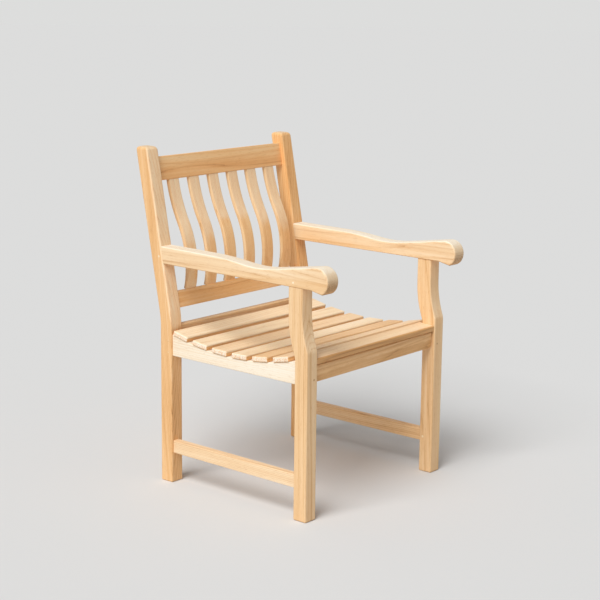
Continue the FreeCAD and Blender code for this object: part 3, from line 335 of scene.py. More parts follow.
# %% [markdown]
# The log runs along X, with its heart on the X axis. Slow waves push every place in it a little aside, so
# that the grain wanders. How far a place is from the heart then tells its growth ring, and a ramp gives
# that ring its dark start and its pale middle. Where a face looks along the grain, the sawn fibres show as
# end grain, speckled by their own noise.

# %% Rings and end grain
# Each noise: its waves per metre along and across the grain, and its detail.
WANDER = (1.1, 5, 5), 1
WANDER_REACH = (0, 0.030, 0.030)
ACROSS_GRAIN = (0, 1, 1)
RINGS_PER_METRE = 190
GROWTH = (0.5, 40, 40), 1
GROWTH_WAVER = 1.6
RING_STOPS = [(position, (level,) * 3) for position, level in ((0, 0), (0.12, 0.6), (0.38, 1), (1, 0.5))]
END_GRAIN_FACING = (0.5, 0.98)
SPECKLE = (30, 330, 330), 2
SPECKLE_RANGE = (0.40, 0.62, 0.3)


def wandering(tree, place):
    """The place in the log, pushed aside by slow waves."""
    waves = noise_of(tree, place, *WANDER)["Color"]
    return vector_of(tree, "MULTIPLY_ADD", waves, WANDER_REACH, place)["Vector"]


def rings_of(tree, bent):
    """The level of the growth ring at a place: dark at first, soon pale, then fading."""
    across = vector_of(tree, "MULTIPLY", bent, ACROSS_GRAIN)["Vector"]
    from_heart = vector_of(tree, "LENGTH", across)["Value"]
    even_years = math_of(tree, "MULTIPLY", from_heart, RINGS_PER_METRE)
    growth = noise_of(tree, bent, *GROWTH)["Fac"]
    years = math_of(tree, "MULTIPLY_ADD", growth, GROWTH_WAVER, even_years)
    return ramp_of(tree, math_of(tree, "FRACT", years), RING_STOPS)


def end_grain_of(tree, facing, bent):
    """How much end grain a face shows, from none to all."""
    along = math_of(tree, "ABSOLUTE", part_of(tree, facing, "X"))
    shown = range_of(tree, along, *END_GRAIN_FACING, way="SMOOTHSTEP")
    speckle = range_of(tree, noise_of(tree, bent, *SPECKLE)["Fac"], *SPECKLE_RANGE)
    return math_of(tree, "MULTIPLY", shown, speckle)


print("a growth ring is", round(1 / RINGS_PER_METRE / MM, 1), "mm wide")

# %% [markdown]
# The tone of the wood is a weighted sum of these rings, of streaks, of clouds and of fibres. Pores are the
# peaks of a very fine noise. All of this is kept in one node group, so that every material shares it and
# only says from where in the log its piece is cut, and how a face lies to the grain.

# %% The figure of teak
FIBRES = (9, 800, 800), 2
STREAKS = (1.3, 120, 120), 2
CLOUDS = (2.5, 16, 16), 1
PITS = (45, 1300, 1300), 1
PITS_TO_PORES = (0.62, 0.74)
TONE_BASE = -0.69
TONE_WEIGHTS = (0.85, 0.65, 0.50, 0.30)
PORE_DEPTH = -0.9


def make_figure():
    """A node group that turns a place in the log and a facing into tone, pores, relief and end grain."""
    tree = bpy.data.node_groups.new("teak_figure", "ShaderNodeTree")
    for name in ("Place", "Facing"):
        tree.interface.new_socket(name, in_out="INPUT", socket_type="NodeSocketVector")
    for name in ("Tone", "Pores", "Relief", "End grain"):
        tree.interface.new_socket(name, in_out="OUTPUT", socket_type="NodeSocketFloat")
    given = add_node(tree, "NodeGroupInput").outputs
    bent = wandering(tree, given["Place"])
    fibres = noise_of(tree, bent, *FIBRES)["Fac"]
    streaks = noise_of(tree, bent, *STREAKS)["Fac"]
    clouds = noise_of(tree, given["Place"], *CLOUDS)["Fac"]
    tone = TONE_BASE
    for level, weight in zip((streaks, clouds, rings_of(tree, bent), fibres), TONE_WEIGHTS):
        tone = math_of(tree, "MULTIPLY_ADD", level, weight, tone)
    pores = range_of(tree, noise_of(tree, bent, *PITS)["Fac"], *PITS_TO_PORES)
    relief = math_of(tree, "MULTIPLY_ADD", pores, PORE_DEPTH, fibres)
    add_node(tree, "NodeGroupOutput", {"Tone": tone, "Pores": pores, "Relief": relief,
                                       "End grain": end_grain_of(tree, given["Facing"], bent)})
    return tree


figure = make_figure()
print("nodes in the teak figure:", len(figure.nodes))

# %% [markdown]
# Sticks of one chair come from different boards, so their colours differ: some are paler, some pinkish,
# some orange. A tone is four colours from dark to pale, and a ramp goes through them as the figure tells.
# End grain has a colour of its own. Painted light makes the ends of the seat slats paler, and painted shade
# darkens end grain that faces down and the ends of the front rail's pegs.

# %% Tones of the wood
TONES = {
    "ivory": ((0.76, 0.56, 0.36), (0.89, 0.73, 0.53), (0.92, 0.80, 0.63), (0.93, 0.85, 0.72)),
    "cream": ((0.72, 0.48, 0.26), (0.88, 0.66, 0.41), (0.93, 0.74, 0.50), (0.95, 0.81, 0.61)),
    "peach": ((0.72, 0.42, 0.20), (0.92, 0.61, 0.345), (0.97, 0.69, 0.42), (0.97, 0.77, 0.53)),
    "apricot": ((0.66, 0.33, 0.12), (0.89, 0.50, 0.21), (0.95, 0.59, 0.28), (0.97, 0.69, 0.39)),
    "pale": ((0.62, 0.345, 0.16), (0.82, 0.555, 0.31), (0.89, 0.65, 0.40), (0.94, 0.76, 0.54)),
    "golden": ((0.55, 0.275, 0.10), (0.77, 0.475, 0.228), (0.85, 0.565, 0.30), (0.91, 0.665, 0.41)),
    "honey": ((0.52, 0.25, 0.08), (0.76, 0.42, 0.17), (0.84, 0.505, 0.23), (0.91, 0.61, 0.34)),
    "brown": ((0.54, 0.23, 0.07), (0.83, 0.42, 0.155), (0.91, 0.51, 0.215), (0.95, 0.60, 0.31)),
    "orange": ((0.52, 0.22, 0.06), (0.79, 0.40, 0.14), (0.88, 0.50, 0.205), (0.94, 0.60, 0.31)),
    "amber": ((0.42, 0.18, 0.055), (0.62, 0.32, 0.11), (0.72, 0.395, 0.155), (0.82, 0.49, 0.23)),
}
STOPS = (0.0, 0.36, 0.62, 1.0)
END_GRAIN = (0.77, 0.60, 0.40, 1)
# Painted light: the paler ends of the seat slats.
PAINTED_LIGHT_ENDS = (0.92, 0.82, 0.68, 1)
# Painted shade: end grain that faces down.
SHADED_ENDS = (0.36, 0.17, 0.05, 1)
# Painted shade: the ends of the front rail's pegs.
PAINTED_SHADE_PEG_ENDS = (0.50, 0.28, 0.12, 1)
PORE_SHADE = (0.80, 0.68, 0.56, 1)


def tone_of(tree, name, level):
    """The colours of a tone, chosen by a level from 0 to 1."""
    return ramp_of(tree, level, list(zip(STOPS, TONES[name])))


def blend(tree, share, first, second, way="MIX"):
    """A mix of two colours by the share of the second."""
    inputs = {"Factor": share, "A": first, "B": second}
    return add_node(tree, "ShaderNodeMix", inputs, data_type="RGBA", blend_type=way).outputs["Result"]


print("tones of the wood:", ", ".join(TONES))

# %% [markdown]
# Each piece gets a material of its own, which sets the direction of its grain and its place in the log. One
# board can hold two woods, because the outer wood of a log is paler; the boundary between them is a plane
# across the stick, made ragged with noise. The same split also paints light and shade on some sticks.
# Painted light can make what faces up paler still, painted shade makes what faces down darker, and painted
# shade can give the sides a tone of their own. The sheen is that of sanded wood: a soft gloss that the
# fibres break up.

# %% Cutting a piece's finish from the log
QUARTER = math.radians(90)
ALONG_GRAIN = {"across": (0, 0, 0), "back": (0, 0, -QUARTER), "up": (0, QUARTER, 0),
               "raked": (RAKE, QUARTER, 0), "half raked": (RAKE / 2, QUARTER, 0)}
LEAN = math.radians(1.2)
CHOSEN_LEAN = math.radians(0.4)
LOG = random.Random(4)
LOG_REACH = 3
HEART_DISTANCES = (0.10, 0.30)
RAGGED = (16, 40, 40), 4
# Painted shade on what faces down: how much a face looks down where it starts and where it is full.
SHADED_BELOW = (-0.80, -0.20)
SHADED_ENDS_BELOW = (-0.42, 0.42)
# Painted shade on the sides: how much a face looks left or right where it starts and where it is full.
PAINTED_SIDE_FACING = (0.15, 0.70)
ROUGHNESS = (0.46, 0.66)
BUMP = {"Strength": 0.35, "Distance": 0.0003}

# The heart of the log: its direction in degrees, and its distance in metres.
Heart = namedtuple("Heart", "direction, distance")
# Paler outer wood, and the same split used for painted light and shade: its tone, the way out of the log,
# how far that way from the piece's middle it starts, and how ragged and how soft its boundary is, these
# three in millimetres.
SapwoodAndPaintedLight = namedtuple("SapwoodAndPaintedLight", "tone, outwards, start, waver, blur")
# Painted light on what faces up: its tone, and how much a face looks up where it starts and where it is
# full.
PaintedTopLight = namedtuple("PaintedTopLight", "tone, low, high")


def middle_of(piece):
    """The middle of a piece's own box."""
    corners = [Vector(corner) for corner in piece.bound_box]
    return sum(corners, Vector()) / len(corners)


def teak(piece, grain, tone, heart=None, sapwood_and_painted_light=None, end_colour=END_GRAIN, painted_light_and_shade=None, painted_side_shade=None):
    """A finish for one piece: its grain runs across, back, up or up the rake, in the colours of a tone.

    The heart of the log lies anywhere, unless it is given. Where painted light makes what faces up paler,
    painted shade makes what faces down darker. A painted side shade gives what faces left or right a tone
    of its own.
    """
    material = bpy.data.materials.new(piece.name)
    material.use_nodes = True
    tree = material.node_tree
    given = add_node(tree, "ShaderNodeTexCoord").outputs
    lean = CHOSEN_LEAN if heart else LEAN
    turn = Euler([angle + LOG.uniform(-lean, lean) for angle in ALONG_GRAIN[grain]])
    angle = LOG.uniform(0, math.tau)
    distance = LOG.uniform(*HEART_DISTANCES)
    if heart:
        angle, distance = math.radians(heart.direction), heart.distance
    along = LOG.uniform(-LOG_REACH, LOG_REACH)
    away = Vector((along, distance * math.cos(angle), distance * math.sin(angle)))
    shift = away - turn.to_matrix() @ middle_of(piece)
    cut = add_node(tree, "ShaderNodeMapping",
                   {"Vector": given["Object"], "Rotation": turn, "Location": shift}).outputs["Vector"]
    facing = add_node(tree, "ShaderNodeMapping", {"Vector": given["Normal"], "Rotation": turn},
                      vector_type="VECTOR").outputs["Vector"]
    wood = add_node(tree, "ShaderNodeGroup", {"Place": cut, "Facing": facing}, node_tree=figure).outputs
    colour = tone_of(tree, tone, wood["Tone"])
    if sapwood_and_painted_light:
        outwards = Vector(sapwood_and_painted_light.outwards)
        depth = vector_of(tree, "DOT_PRODUCT", given["Object"], outwards)["Value"]
        ragged = noise_of(tree, cut, *RAGGED)["Fac"]
        depth = math_of(tree, "MULTIPLY_ADD", ragged, sapwood_and_painted_light.waver * MM, depth)
        boundary = outwards.dot(middle_of(piece)) + sapwood_and_painted_light.start * MM
        ends = [boundary + (sapwood_and_painted_light.waver + blur) * MM / 2 for blur in (-sapwood_and_painted_light.blur, sapwood_and_painted_light.blur)]
        outside = range_of(tree, depth, *ends)
        colour = blend(tree, outside, colour, tone_of(tree, sapwood_and_painted_light.tone, wood["Tone"]))
    if painted_light_and_shade:
        # Painted light: what faces up turns towards a paler tone.
        upwards = part_of(tree, given["Normal"], "Z")
        painted_top_lit = range_of(tree, upwards, painted_light_and_shade.low, painted_light_and_shade.high, way="SMOOTHSTEP")
        colour = blend(tree, painted_top_lit, colour, tone_of(tree, painted_light_and_shade.tone, wood["Tone"]))
        # Painted shade: what faces down turns amber, and end grain that faces down turns dark.
        lit = range_of(tree, upwards, *SHADED_BELOW, way="SMOOTHSTEP")
        colour = blend(tree, lit, tone_of(tree, "amber", wood["Tone"]), colour)
        lit = range_of(tree, upwards, *SHADED_ENDS_BELOW, way="SMOOTHSTEP")
        end_colour = blend(tree, lit, SHADED_ENDS, end_colour)
    if painted_side_shade:
        # Painted shade: what faces left or right turns to the tone for the sides.
        sideways = math_of(tree, "ABSOLUTE", part_of(tree, given["Normal"], "X"))
        painted_side_share = range_of(tree, sideways, *PAINTED_SIDE_FACING, way="SMOOTHSTEP")
        colour = blend(tree, painted_side_share, colour, tone_of(tree, painted_side_shade, wood["Tone"]))
    colour = blend(tree, wood["Pores"], colour, PORE_SHADE, way="MULTIPLY")
    shader = tree.nodes["Principled BSDF"].inputs
    shader["Specular IOR Level"].default_value = 0.5
    feed(tree, blend(tree, wood["End grain"], colour, end_colour), shader["Base Color"])
    feed(tree, range_of(tree, wood["Relief"], 0, 1, *ROUGHNESS), shader["Roughness"])
    bump = add_node(tree, "ShaderNodeBump", {"Height": wood["Relief"], **BUMP})
    feed(tree, bump.outputs["Normal"], shader["Normal"])
    return material


print("ways that grain can run:", ", ".join(ALONG_GRAIN))

# %% [markdown]
# A front leg is one stick from the floor to the arm. Above the seat it steps back by a small knee on both
# faces, then runs up in a long gentle bend. Its front and rear lines are drawn first and the stick is
# pulled through them from the floor up. The pair is made alike, and each leg has its own figure. The slope
# of the knee faces up a little, so painted light makes it paler than the rest, and painted shade darkens
# what faces down.

# %% Front legs
KNEE_STEP = 20
FRONT_KNEE = (462.2, 519.2)
REAR_KNEE = (441.9, 512.8)
KNEE_ROUND = 35
BEND_ROUND = 280
LEG_TOP_DEPTH = 47.5
LEG_EDGE = 4
RUBBED_BACK = 0.15
front_line = eased_line([(0, 0), (0, FRONT_KNEE[0]), (KNEE_STEP, FRONT_KNEE[1]), (KNEE_STEP, ARM_HEIGHT)],
                        (KNEE_ROUND, BEND_ROUND))
top_rear = KNEE_STEP + LEG_TOP_DEPTH
rear_line = eased_line([(FRONT_LEG_DEPTH, 0), (FRONT_LEG_DEPTH, REAR_KNEE[0]),
                        (top_rear, REAR_KNEE[1]), (top_rear, ARM_HEIGHT)],
                       (KNEE_ROUND, BEND_ROUND))
front_leg_sections = stations(front_line, rear_line, along=1)


def pull_leg(name, side, sections):
    """Pull a leg on one side of the chair, a hair thinner than the drawing on its outer face."""
    middle = side * (LEG_CENTRE - RUBBED_BACK / 2)
    return pull_stick(f"teak_{name}", middle, LEG_WIDTH - RUBBED_BACK, sections, upright=True)


for side_name, side in SIDES.items():
    name = f"front_leg_{side_name}"
    leg = pull_leg(name, side, front_leg_sections)
    ease(leg, LEG_EDGE, butt_ends(2, ARM_HEIGHT * MM))
    heart = Heart(direction=5, distance=0.09) if side_name == "left" else None
    # Painted light on what faces up, painted shade on what faces down.
    fit(leg, teak(leg, "up", "golden", heart=heart, painted_light_and_shade=PaintedTopLight("pale", low=0, high=0.40)), name)
print("sections of a front leg:", len(front_leg_sections), "faces:", len(leg.data.polygons))

# %% [markdown]
# A rear leg is one stick from the floor to the top of the back, bent to the rake just above the seat. Its
# top is rounded over on all four sides by a larger radius than the long edges have. The left one holds two
# woods: it is honey brown, with a pale skin on its front above the seat. The honey brown of its front below
# the seat is partly the wood's own colour and partly painted shade.

# %% Rear legs
KINK_ROUND = 300
TOP_ROUND = 10.4


def post_front_at(height):
    """How far back the raked front face of a post lies at a height."""
    return POST_FRONT + math.tan(RAKE) * (height - KINK_HEIGHT)


def round_the_top(start, end):
    """A share for ease(): the edges of a post's top are rounded fully, and the others less."""
    on_top = min(start.z, end.z) > (CHAIR_HEIGHT - 1) * MM
    return 1 if on_top else LEG_EDGE / TOP_ROUND


top_front = post_front_at(CHAIR_HEIGHT)
post_rear = POST_FRONT + POST_DEPTH
rear_kink = KINK_HEIGHT - POST_DEPTH * math.tan(RAKE / 2)
front_line = eased_line([(POST_FRONT, 0), (POST_FRONT, KINK_HEIGHT), (top_front, CHAIR_HEIGHT)],
                        (KINK_ROUND,))
rear_line = eased_line([(post_rear, 0), (post_rear, rear_kink),
                        (top_front + POST_DEPTH / math.cos(RAKE), CHAIR_HEIGHT)],
                       (KINK_ROUND - POST_DEPTH,))
rear_leg_sections = stations(front_line, rear_line, along=1)
for side_name, side in SIDES.items():
    name = f"rear_leg_{side_name}"
    leg = pull_leg(name, side, rear_leg_sections)
    ease(leg, TOP_ROUND, round_the_top)
    if side_name == "left":
        # The darker front below the seat is partly painted shade.
        pale_front_painted_shade_below = SapwoodAndPaintedLight("peach", -BEHIND_THE_BACK, start=61, waver=6, blur=4)
        finish = teak(leg, "half raked", "honey", sapwood_and_painted_light=pale_front_painted_shade_below)
    else:
        finish = teak(leg, "half raked", "orange")
    fit(leg, finish, name)
print("top of a rear leg in metres:", round(max(vertex.co.z for vertex in leg.data.vertices), 4))

# %% [markdown]
# The arms are the piece that the hand knows best: flat below, dipped on top, and ending in a thick round
# nose with a small lip under it. The nose is part of a circle, which could be cut from a cylinder and
# joined on. Drawn as part of the two lines, with its points set close together, it stays one piece.

# %% The lines of an arm
NOSE = (-27, 655)
NOSE_ROUND = 37
NOSE_STEPS = 7
TIP_GAP = 3
LIP_BACK = -45
HEEL_BACK = -6
DIP = (175, 662)
FLAT = (300, 677)
DIP_ROUND = 400
FLAT_ROUND = 1000
REAR_THICKNESS = 48
SAW_WASTE = 4


def on_nose(degrees):
    """A point of the round nose, from 0 at the rear to 90 at the top."""
    angle = math.radians(degrees)
    return NOSE[0] + NOSE_ROUND * math.cos(angle), NOSE[1] + NOSE_ROUND * math.sin(angle)


to_dip = Vector(DIP) - Vector(NOSE)
tangent = math.degrees(math.atan2(to_dip.y, to_dip.x) + math.acos(NOSE_ROUND / to_dip.length))
lip = 180 + math.degrees(math.acos((NOSE[0] - LIP_BACK) / NOSE_ROUND))
upper_arc = [on_nose(angle) for angle in numpy.linspace(180 - TIP_GAP, tangent, NOSE_STEPS * 2)]
lower_arc = [on_nose(angle) for angle in numpy.linspace(180 + TIP_GAP, lip, NOSE_STEPS)]
rear_top = ARM_HEIGHT + REAR_THICKNESS
past_post = post_front_at(rear_top) + SAW_WASTE
top_line = upper_arc + eased_line([upper_arc[-1], DIP, FLAT, (past_post, rear_top)],
                                  (DIP_ROUND, FLAT_ROUND))[1:]
under_line = lower_arc + [(HEEL_BACK, ARM_HEIGHT), (past_post, ARM_HEIGHT)]
arm_sections = stations(under_line, top_line, along=0)
print("sections of an arm:", len(arm_sections))

# %% [markdown]
# The rear end is cut to the slope of the post with a bisect, as a saw cut to a bevel gauge. The edges are
# rounded most on top and round the nose, where the hand rests. A painted highlight makes the top nearly
# white; the end grain of the nose is pale above, and a painted shade makes it dark below.

# %% Arms
ARM_WIDTH = 46
ARM_EDGE = 5
UNDER_EDGE = 2.5
PALER_OUTWARDS = 0.05


def cut_to_rake(piece):
    """Saw off what lies behind the front face of the posts."""
    use(piece)
    bpy.ops.object.mode_set(mode="EDIT")
    bpy.ops.mesh.select_all(action="SELECT")
    bpy.ops.mesh.bisect(plane_co=at(0, POST_FRONT, KINK_HEIGHT), plane_no=BEHIND_THE_BACK,
                        use_fill=True, clear_outer=True)
    bpy.ops.object.mode_set(mode="OBJECT")


def round_the_arm(start, end):
    """A share for ease(): full on top and round the nose, less below, none at the butt end."""
    middle = (start + end) / 2
    if min(start.y, end.y) > at(0, post_front_at(ARM_HEIGHT) - 1, 0).y:
        return 0
    if middle.z > at(0, 0, NOSE[1]).z:
        return 1
    under = UNDER_EDGE / ARM_EDGE
    tip = NOSE[0] - NOSE_ROUND
    along_lip = (middle.y - at(0, tip, 0).y) / ((HEEL_BACK - tip) * MM)
    return max(under, 1 - along_lip * (1 - under))


for side_name, side in SIDES.items():
    name = f"arm_{side_name}"
    arm = pull_stick(f"teak_{name}", side * (HALF_WIDTH - (ARM_WIDTH + RUBBED_BACK) / 2),
                     ARM_WIDTH - RUBBED_BACK, arm_sections, upright=False)
    cut_to_rake(arm)
    ease(arm, ARM_EDGE, round_the_arm)
    paler_top = SapwoodAndPaintedLight("pale", (0, -side * PALER_OUTWARDS, 1), start=-14, waver=12, blur=14)
    # Painted highlight on the top, painted shade on what faces down.
    fit(arm, teak(arm, "back", "golden", heart=Heart(direction=8, distance=0.07), sapwood_and_painted_light=paler_top,
                  painted_light_and_shade=PaintedTopLight("ivory", low=0.30, high=0.85)), name)
print("faces of an arm:", len(arm.data.polygons))

# %% [markdown]
# The seat rests on a frame of rails. The side rails are dished on top, so that the slats form a shallow
# bowl. Their top line is an arc, and they are pulled through it like the other sawn sticks. The stretchers
# below them are plain bars. All four butt against the legs, so their ends stay sharp.

# %% Side rails and stretchers
RAIL_THICKNESS = 22
RAIL_EDGE = 2.5
RAIL_BOTTOM = 371.28
SIDE_RAIL_CENTRE = 288
STRETCHER_CENTRE = 287
STRETCHER_SPAN = (87, 124)
DISH_PLACE = 274.785
DISH_HEIGHT = 1300
RAIL_DISH = 895.42
DISH_POINTS = 25
dish_line = [(back, DISH_HEIGHT - math.sqrt(RAIL_DISH**2 - (back - DISH_PLACE) ** 2))
             for back in numpy.linspace(FRONT_LEG_DEPTH, POST_FRONT, DISH_POINTS)]
bottom_line = [(back, RAIL_BOTTOM) for back in (FRONT_LEG_DEPTH, POST_FRONT)]
rail_sections = stations(bottom_line, dish_line, along=0)
stretcher_sections = [(back, *STRETCHER_SPAN) for back in (FRONT_LEG_DEPTH, POST_FRONT)]
between_legs = butt_ends(1, at(0, FRONT_LEG_DEPTH, 0).y, at(0, POST_FRONT, 0).y)
for side_name, side in SIDES.items():
    name = f"seat_side_rail_{side_name}"
    rail = pull_stick(f"teak_{name}", side * SIDE_RAIL_CENTRE, RAIL_THICKNESS, rail_sections, upright=False)
    ease(rail, RAIL_EDGE, between_legs)
    fit(rail, teak(rail, "back", "ivory"), name)
    name = f"side_stretcher_{side_name}"
    stretcher = pull_stick(f"teak_{name}", side * STRETCHER_CENTRE, RAIL_THICKNESS, stretcher_sections,
                           upright=False)
    ease(stretcher, RAIL_EDGE, between_legs)
    fit(stretcher, teak(stretcher, "back", {"left": "pale", "right": "golden"}[side_name]), name)
print("height of the side rails at the front:", round(dish_line[0][1], 1), "mm")

# %% [markdown]
# The front rail is a bar with rounded lower corners, and its top falls away to the front, so that a thin
# line of shadow shows under the nose of the front slat. Booleans could cut it so, but lifting the rear edge
# of its top and bevelling its lower corners is cleaner. The rear rail is a plain bar.

# %% Front and rear rails of the seat
FRONT_RAIL_BACK = 10
FRONT_RAIL_BOTTOM = 376.06
FRONT_RAIL_TOP = 420.86
FRONT_RAIL_RISE = 6.35
FRONT_CORNER = 12
FRONT_CORNER_STEPS = 7
REAR_RAIL_FOOT = (502, 385)
REAR_RAIL_HEIGHT = 70


def cross_bar(name, half_length, low, size):
    """A straight bar across the chair: a cube stretched to its size, still sharp."""
    back, up = low
    depth, height = size
    bpy.ops.mesh.primitive_cube_add(size=1, location=at(0, back + depth / 2, up + height / 2))
    bar = bpy.context.active_object
    bar.name = bar.data.name = name
    bar.scale = (2 * half_length * MM, depth * MM, height * MM)
    settle(bar)
    return bar


def is_rear_of_top(edge):
    """Whether an edge of the front rail is the rear one of its top."""
    near_rear = at(0, FRONT_RAIL_BACK + RAIL_THICKNESS - 1, 0).y
    return all(vertex.co.z > (FRONT_RAIL_TOP - 1) * MM and vertex.co.y > near_rear for vertex in edge.verts)


def is_lower_corner(edge):
    """Whether an edge of the front rail is the left or right one of its bottom."""
    start, end = [vertex.co for vertex in edge.verts]
    return max(start.z, end.z) < (FRONT_RAIL_BOTTOM + 1) * MM and abs(start.x - end.x) < MM


rail = cross_bar("teak_seat_front_rail", INNER_FACE, (FRONT_RAIL_BACK, FRONT_RAIL_BOTTOM),
                 (RAIL_THICKNESS, FRONT_RAIL_TOP - FRONT_RAIL_BOTTOM))
bpy.ops.object.mode_set(mode="EDIT")
pick(rail, "EDGE", is_rear_of_top)
bpy.ops.transform.translate(value=(0, 0, FRONT_RAIL_RISE * MM))
pick(rail, "EDGE", is_lower_corner)
bpy.ops.mesh.bevel(offset=FRONT_CORNER * MM, segments=FRONT_CORNER_STEPS, affect="EDGES")
bpy.ops.object.mode_set(mode="OBJECT")
ease(rail, RAIL_EDGE)
paler_top = SapwoodAndPaintedLight("honey", (0, 0, 1), start=-2, waver=40, blur=7)
fit(rail, teak(rail, "across", "amber", heart=Heart(direction=10, distance=0.05), sapwood_and_painted_light=paler_top),
    "seat_front_rail")
between_sides = butt_ends(0, -INNER_FACE * MM, INNER_FACE * MM)
rail = cross_bar("teak_seat_rear_rail", INNER_FACE, REAR_RAIL_FOOT, (RAIL_THICKNESS, REAR_RAIL_HEIGHT))
ease(rail, RAIL_EDGE, between_sides)
fit(rail, teak(rail, "across", "golden"), "seat_rear_rail")
print("faces of the rear rail:", len(rail.data.polygons))

# %% [markdown]
# Six slats of one width make the seat. They are alike, so one is modelled and copied, and each copy is
# turned to the slope of the dish at its place. Each top keeps its slat's own tone; below it a painted shade
# turns the wood orange, as in the warm shade between the slats, and painted light makes the sawn ends
# paler.

# %% Seat slats
SLAT_WIDTH = 55
SLAT_THICKNESS = 15
SLAT_HALF_LENGTH = 303
SLAT_EDGE = 3.5
SLAT_PITCH = 73.308
REAR_SLAT = 462.496
SEAT_DISH = 880
SLAT_TONES = ("cream", "cream", "pale", "cream", "golden", "pale")
pattern = cross_bar("teak_seat_slat", SLAT_HALF_LENGTH, (-SLAT_WIDTH / 2, -SLAT_THICKNESS),
                    (SLAT_WIDTH, SLAT_THICKNESS))
ease(pattern, SLAT_EDGE)
pattern.location.y = -FRONT_OF_FEET
settle(pattern)
for number, tone in enumerate(SLAT_TONES, start=1):
    name = f"seat_slat_{number}"
    place = REAR_SLAT - (number - 1) * SLAT_PITCH
    slope = math.asin((place - DISH_PLACE) / SEAT_DISH)
    slat = copy_of(pattern, f"teak_{name}")
    slat.rotation_euler.x = slope
    slat.location = at(0, DISH_PLACE + SEAT_DISH * math.sin(slope),
                       DISH_HEIGHT - SEAT_DISH * math.cos(slope))
    settle(slat)
    # Painted shade turns the slat orange below its top, and painted light makes its ends paler.
    painted_shade_below_top = SapwoodAndPaintedLight(tone, (0, -math.sin(slope), math.cos(slope)), start=3, waver=3, blur=2)
    fit(slat, teak(slat, "across", "orange", sapwood_and_painted_light=painted_shade_below_top, end_colour=PAINTED_LIGHT_ENDS), name)
    print("slope of", name, "in degrees:", round(math.degrees(slope), 1))
bpy.data.objects.remove(pattern)

# %% [markdown]
# A seventh slat lies over the front rail, between the legs. It is a little thicker than the others, leans
# forward and has a round nose, so it is made on its own: eased while it lies level, when its edges are easy
# to tell apart, and only then tilted and laid in place.

# %% Front slat of the seat
CLEARANCE = 0.5
FRONT_SLAT_HALF = INNER_FACE - CLEARANCE
FRONT_SLAT_SIZE = (53, 16)
FRONT_SLAT_PLACE = (2, 441)
FRONT_SLAT_TILT = math.radians(4.3)
FRONT_NOSE = 4
SHARE_OF_OTHER_EDGES = 0.6
butt = butt_ends(0, -FRONT_SLAT_HALF * MM, FRONT_SLAT_HALF * MM)


def round_the_nose(start, end):
    """A share for ease(): the top edge of the nose is rounded fully, the others less."""
    nose = max(start.y, end.y) < at(0, 1, 0).y and min(start.z, end.z) > -MM
    return butt(start, end) * (1 if nose else SHARE_OF_OTHER_EDGES)


slat = cross_bar("teak_seat_slat_front", FRONT_SLAT_HALF, (0, -FRONT_SLAT_SIZE[1]), FRONT_SLAT_SIZE)
ease(slat, FRONT_NOSE, round_the_nose)
slat.location.y = -FRONT_OF_FEET
settle(slat)
slat.rotation_euler.x = FRONT_SLAT_TILT
slat.location = at(0, *FRONT_SLAT_PLACE)
settle(slat)
# Painted shade: the nose stays amber, darker than the pale rear, as it turns down out of the light.
pale_rear_painted_nose_shade = SapwoodAndPaintedLight("pale", (0, 1, 0), start=-23, waver=5, blur=3)
fit(slat, teak(slat, "across", "amber", heart=Heart(direction=0, distance=0.12), sapwood_and_painted_light=pale_rear_painted_nose_shade),
    "seat_slat_front")
print("length of the front slat:", 2 * FRONT_SLAT_HALF, "mm")

# %% [markdown]
# The back has a deep rail at the top and a lower rail. Both are straight bars, so they are made upright in
# the drawing's own corner, where their size is plain, then leaned back to the rake between the posts. The
# top rail is brown with an apricot upper half, and the lower one is orange.

# %% Back rails
TOP_RAIL = (385.95, 67.5, 13.5)
LOWER_RAIL = (26, 47.5, 3)
for rail_name, (along, height, behind) in {"top": TOP_RAIL, "lower": LOWER_RAIL}.items():
    name = f"back_{rail_name}_rail"
    rail = cross_bar(f"teak_{name}", INNER_FACE, (behind, along), (RAIL_THICKNESS, height))
    ease(rail, RAIL_EDGE, between_sides)
    rail.location.y = -FRONT_OF_FEET
    settle(rail)
    rail.rotation_euler.x = -RAKE
    rail.location = at(0, POST_FRONT, KINK_HEIGHT)
    settle(rail)
    heart = Heart(direction=-20, distance=0.06)
    if rail_name == "top":
        upper_half = SapwoodAndPaintedLight("apricot", UP_THE_BACK, start=0, waver=24, blur=14)
        finish = teak(rail, "across", "brown", heart=heart, sapwood_and_painted_light=upper_half)
    else:
        finish = teak(rail, "across", "orange", heart=heart)
    fit(rail, finish, name)
    print(name, "starts", along, "mm up the rake")

# %% [markdown]
# Between the rails stand six slats, each sawn to an S: a belly that meets the small of the back and a
# hollow above it. Both curves are arcs, and where they meet, their centres lie on one line with that point.
# So the two lines of a slat are worked out as arcs up the rake, and the slat is pulled through them.

# %% The lines of a back slat
BACK_SLAT_THICKNESS = 12
BELLY_ROUND = 269
HOLLOW_ROUND = 417
BELLY_POINTS = 16
HOLLOW_POINTS = 12
SLAT_TOP = (15, TOP_RAIL[0])
SLAT_FOOT = (6.5, LOWER_RAIL[0] + LOWER_RAIL[1])
SUNK = 3
hollow_centre = Vector((SLAT_TOP[0] - HOLLOW_ROUND, SLAT_TOP[1]))
foot = Vector(SLAT_FOOT)
reach = (hollow_centre - foot).length
along = (BELLY_ROUND**2 - (BELLY_ROUND + HOLLOW_ROUND) ** 2 + reach**2) / (2 * reach)
beside = math.sqrt(BELLY_ROUND**2 - along**2)
step = (hollow_centre - foot) / reach
belly_centre = foot + along * step + beside * Vector((step.y, -step.x))


def up_the_rake(along, behind):
    """Back and up of a point that is given along the raked back and behind its front face."""
    back = POST_FRONT + along * math.sin(RAKE) + behind * math.cos(RAKE)
    return back, KINK_HEIGHT + along * math.cos(RAKE) - behind * math.sin(RAKE)


def direction_from(centre, point):
    """The angle at which a point is seen from a centre."""
    return math.atan2(point.y - centre.y, point.x - centre.x)


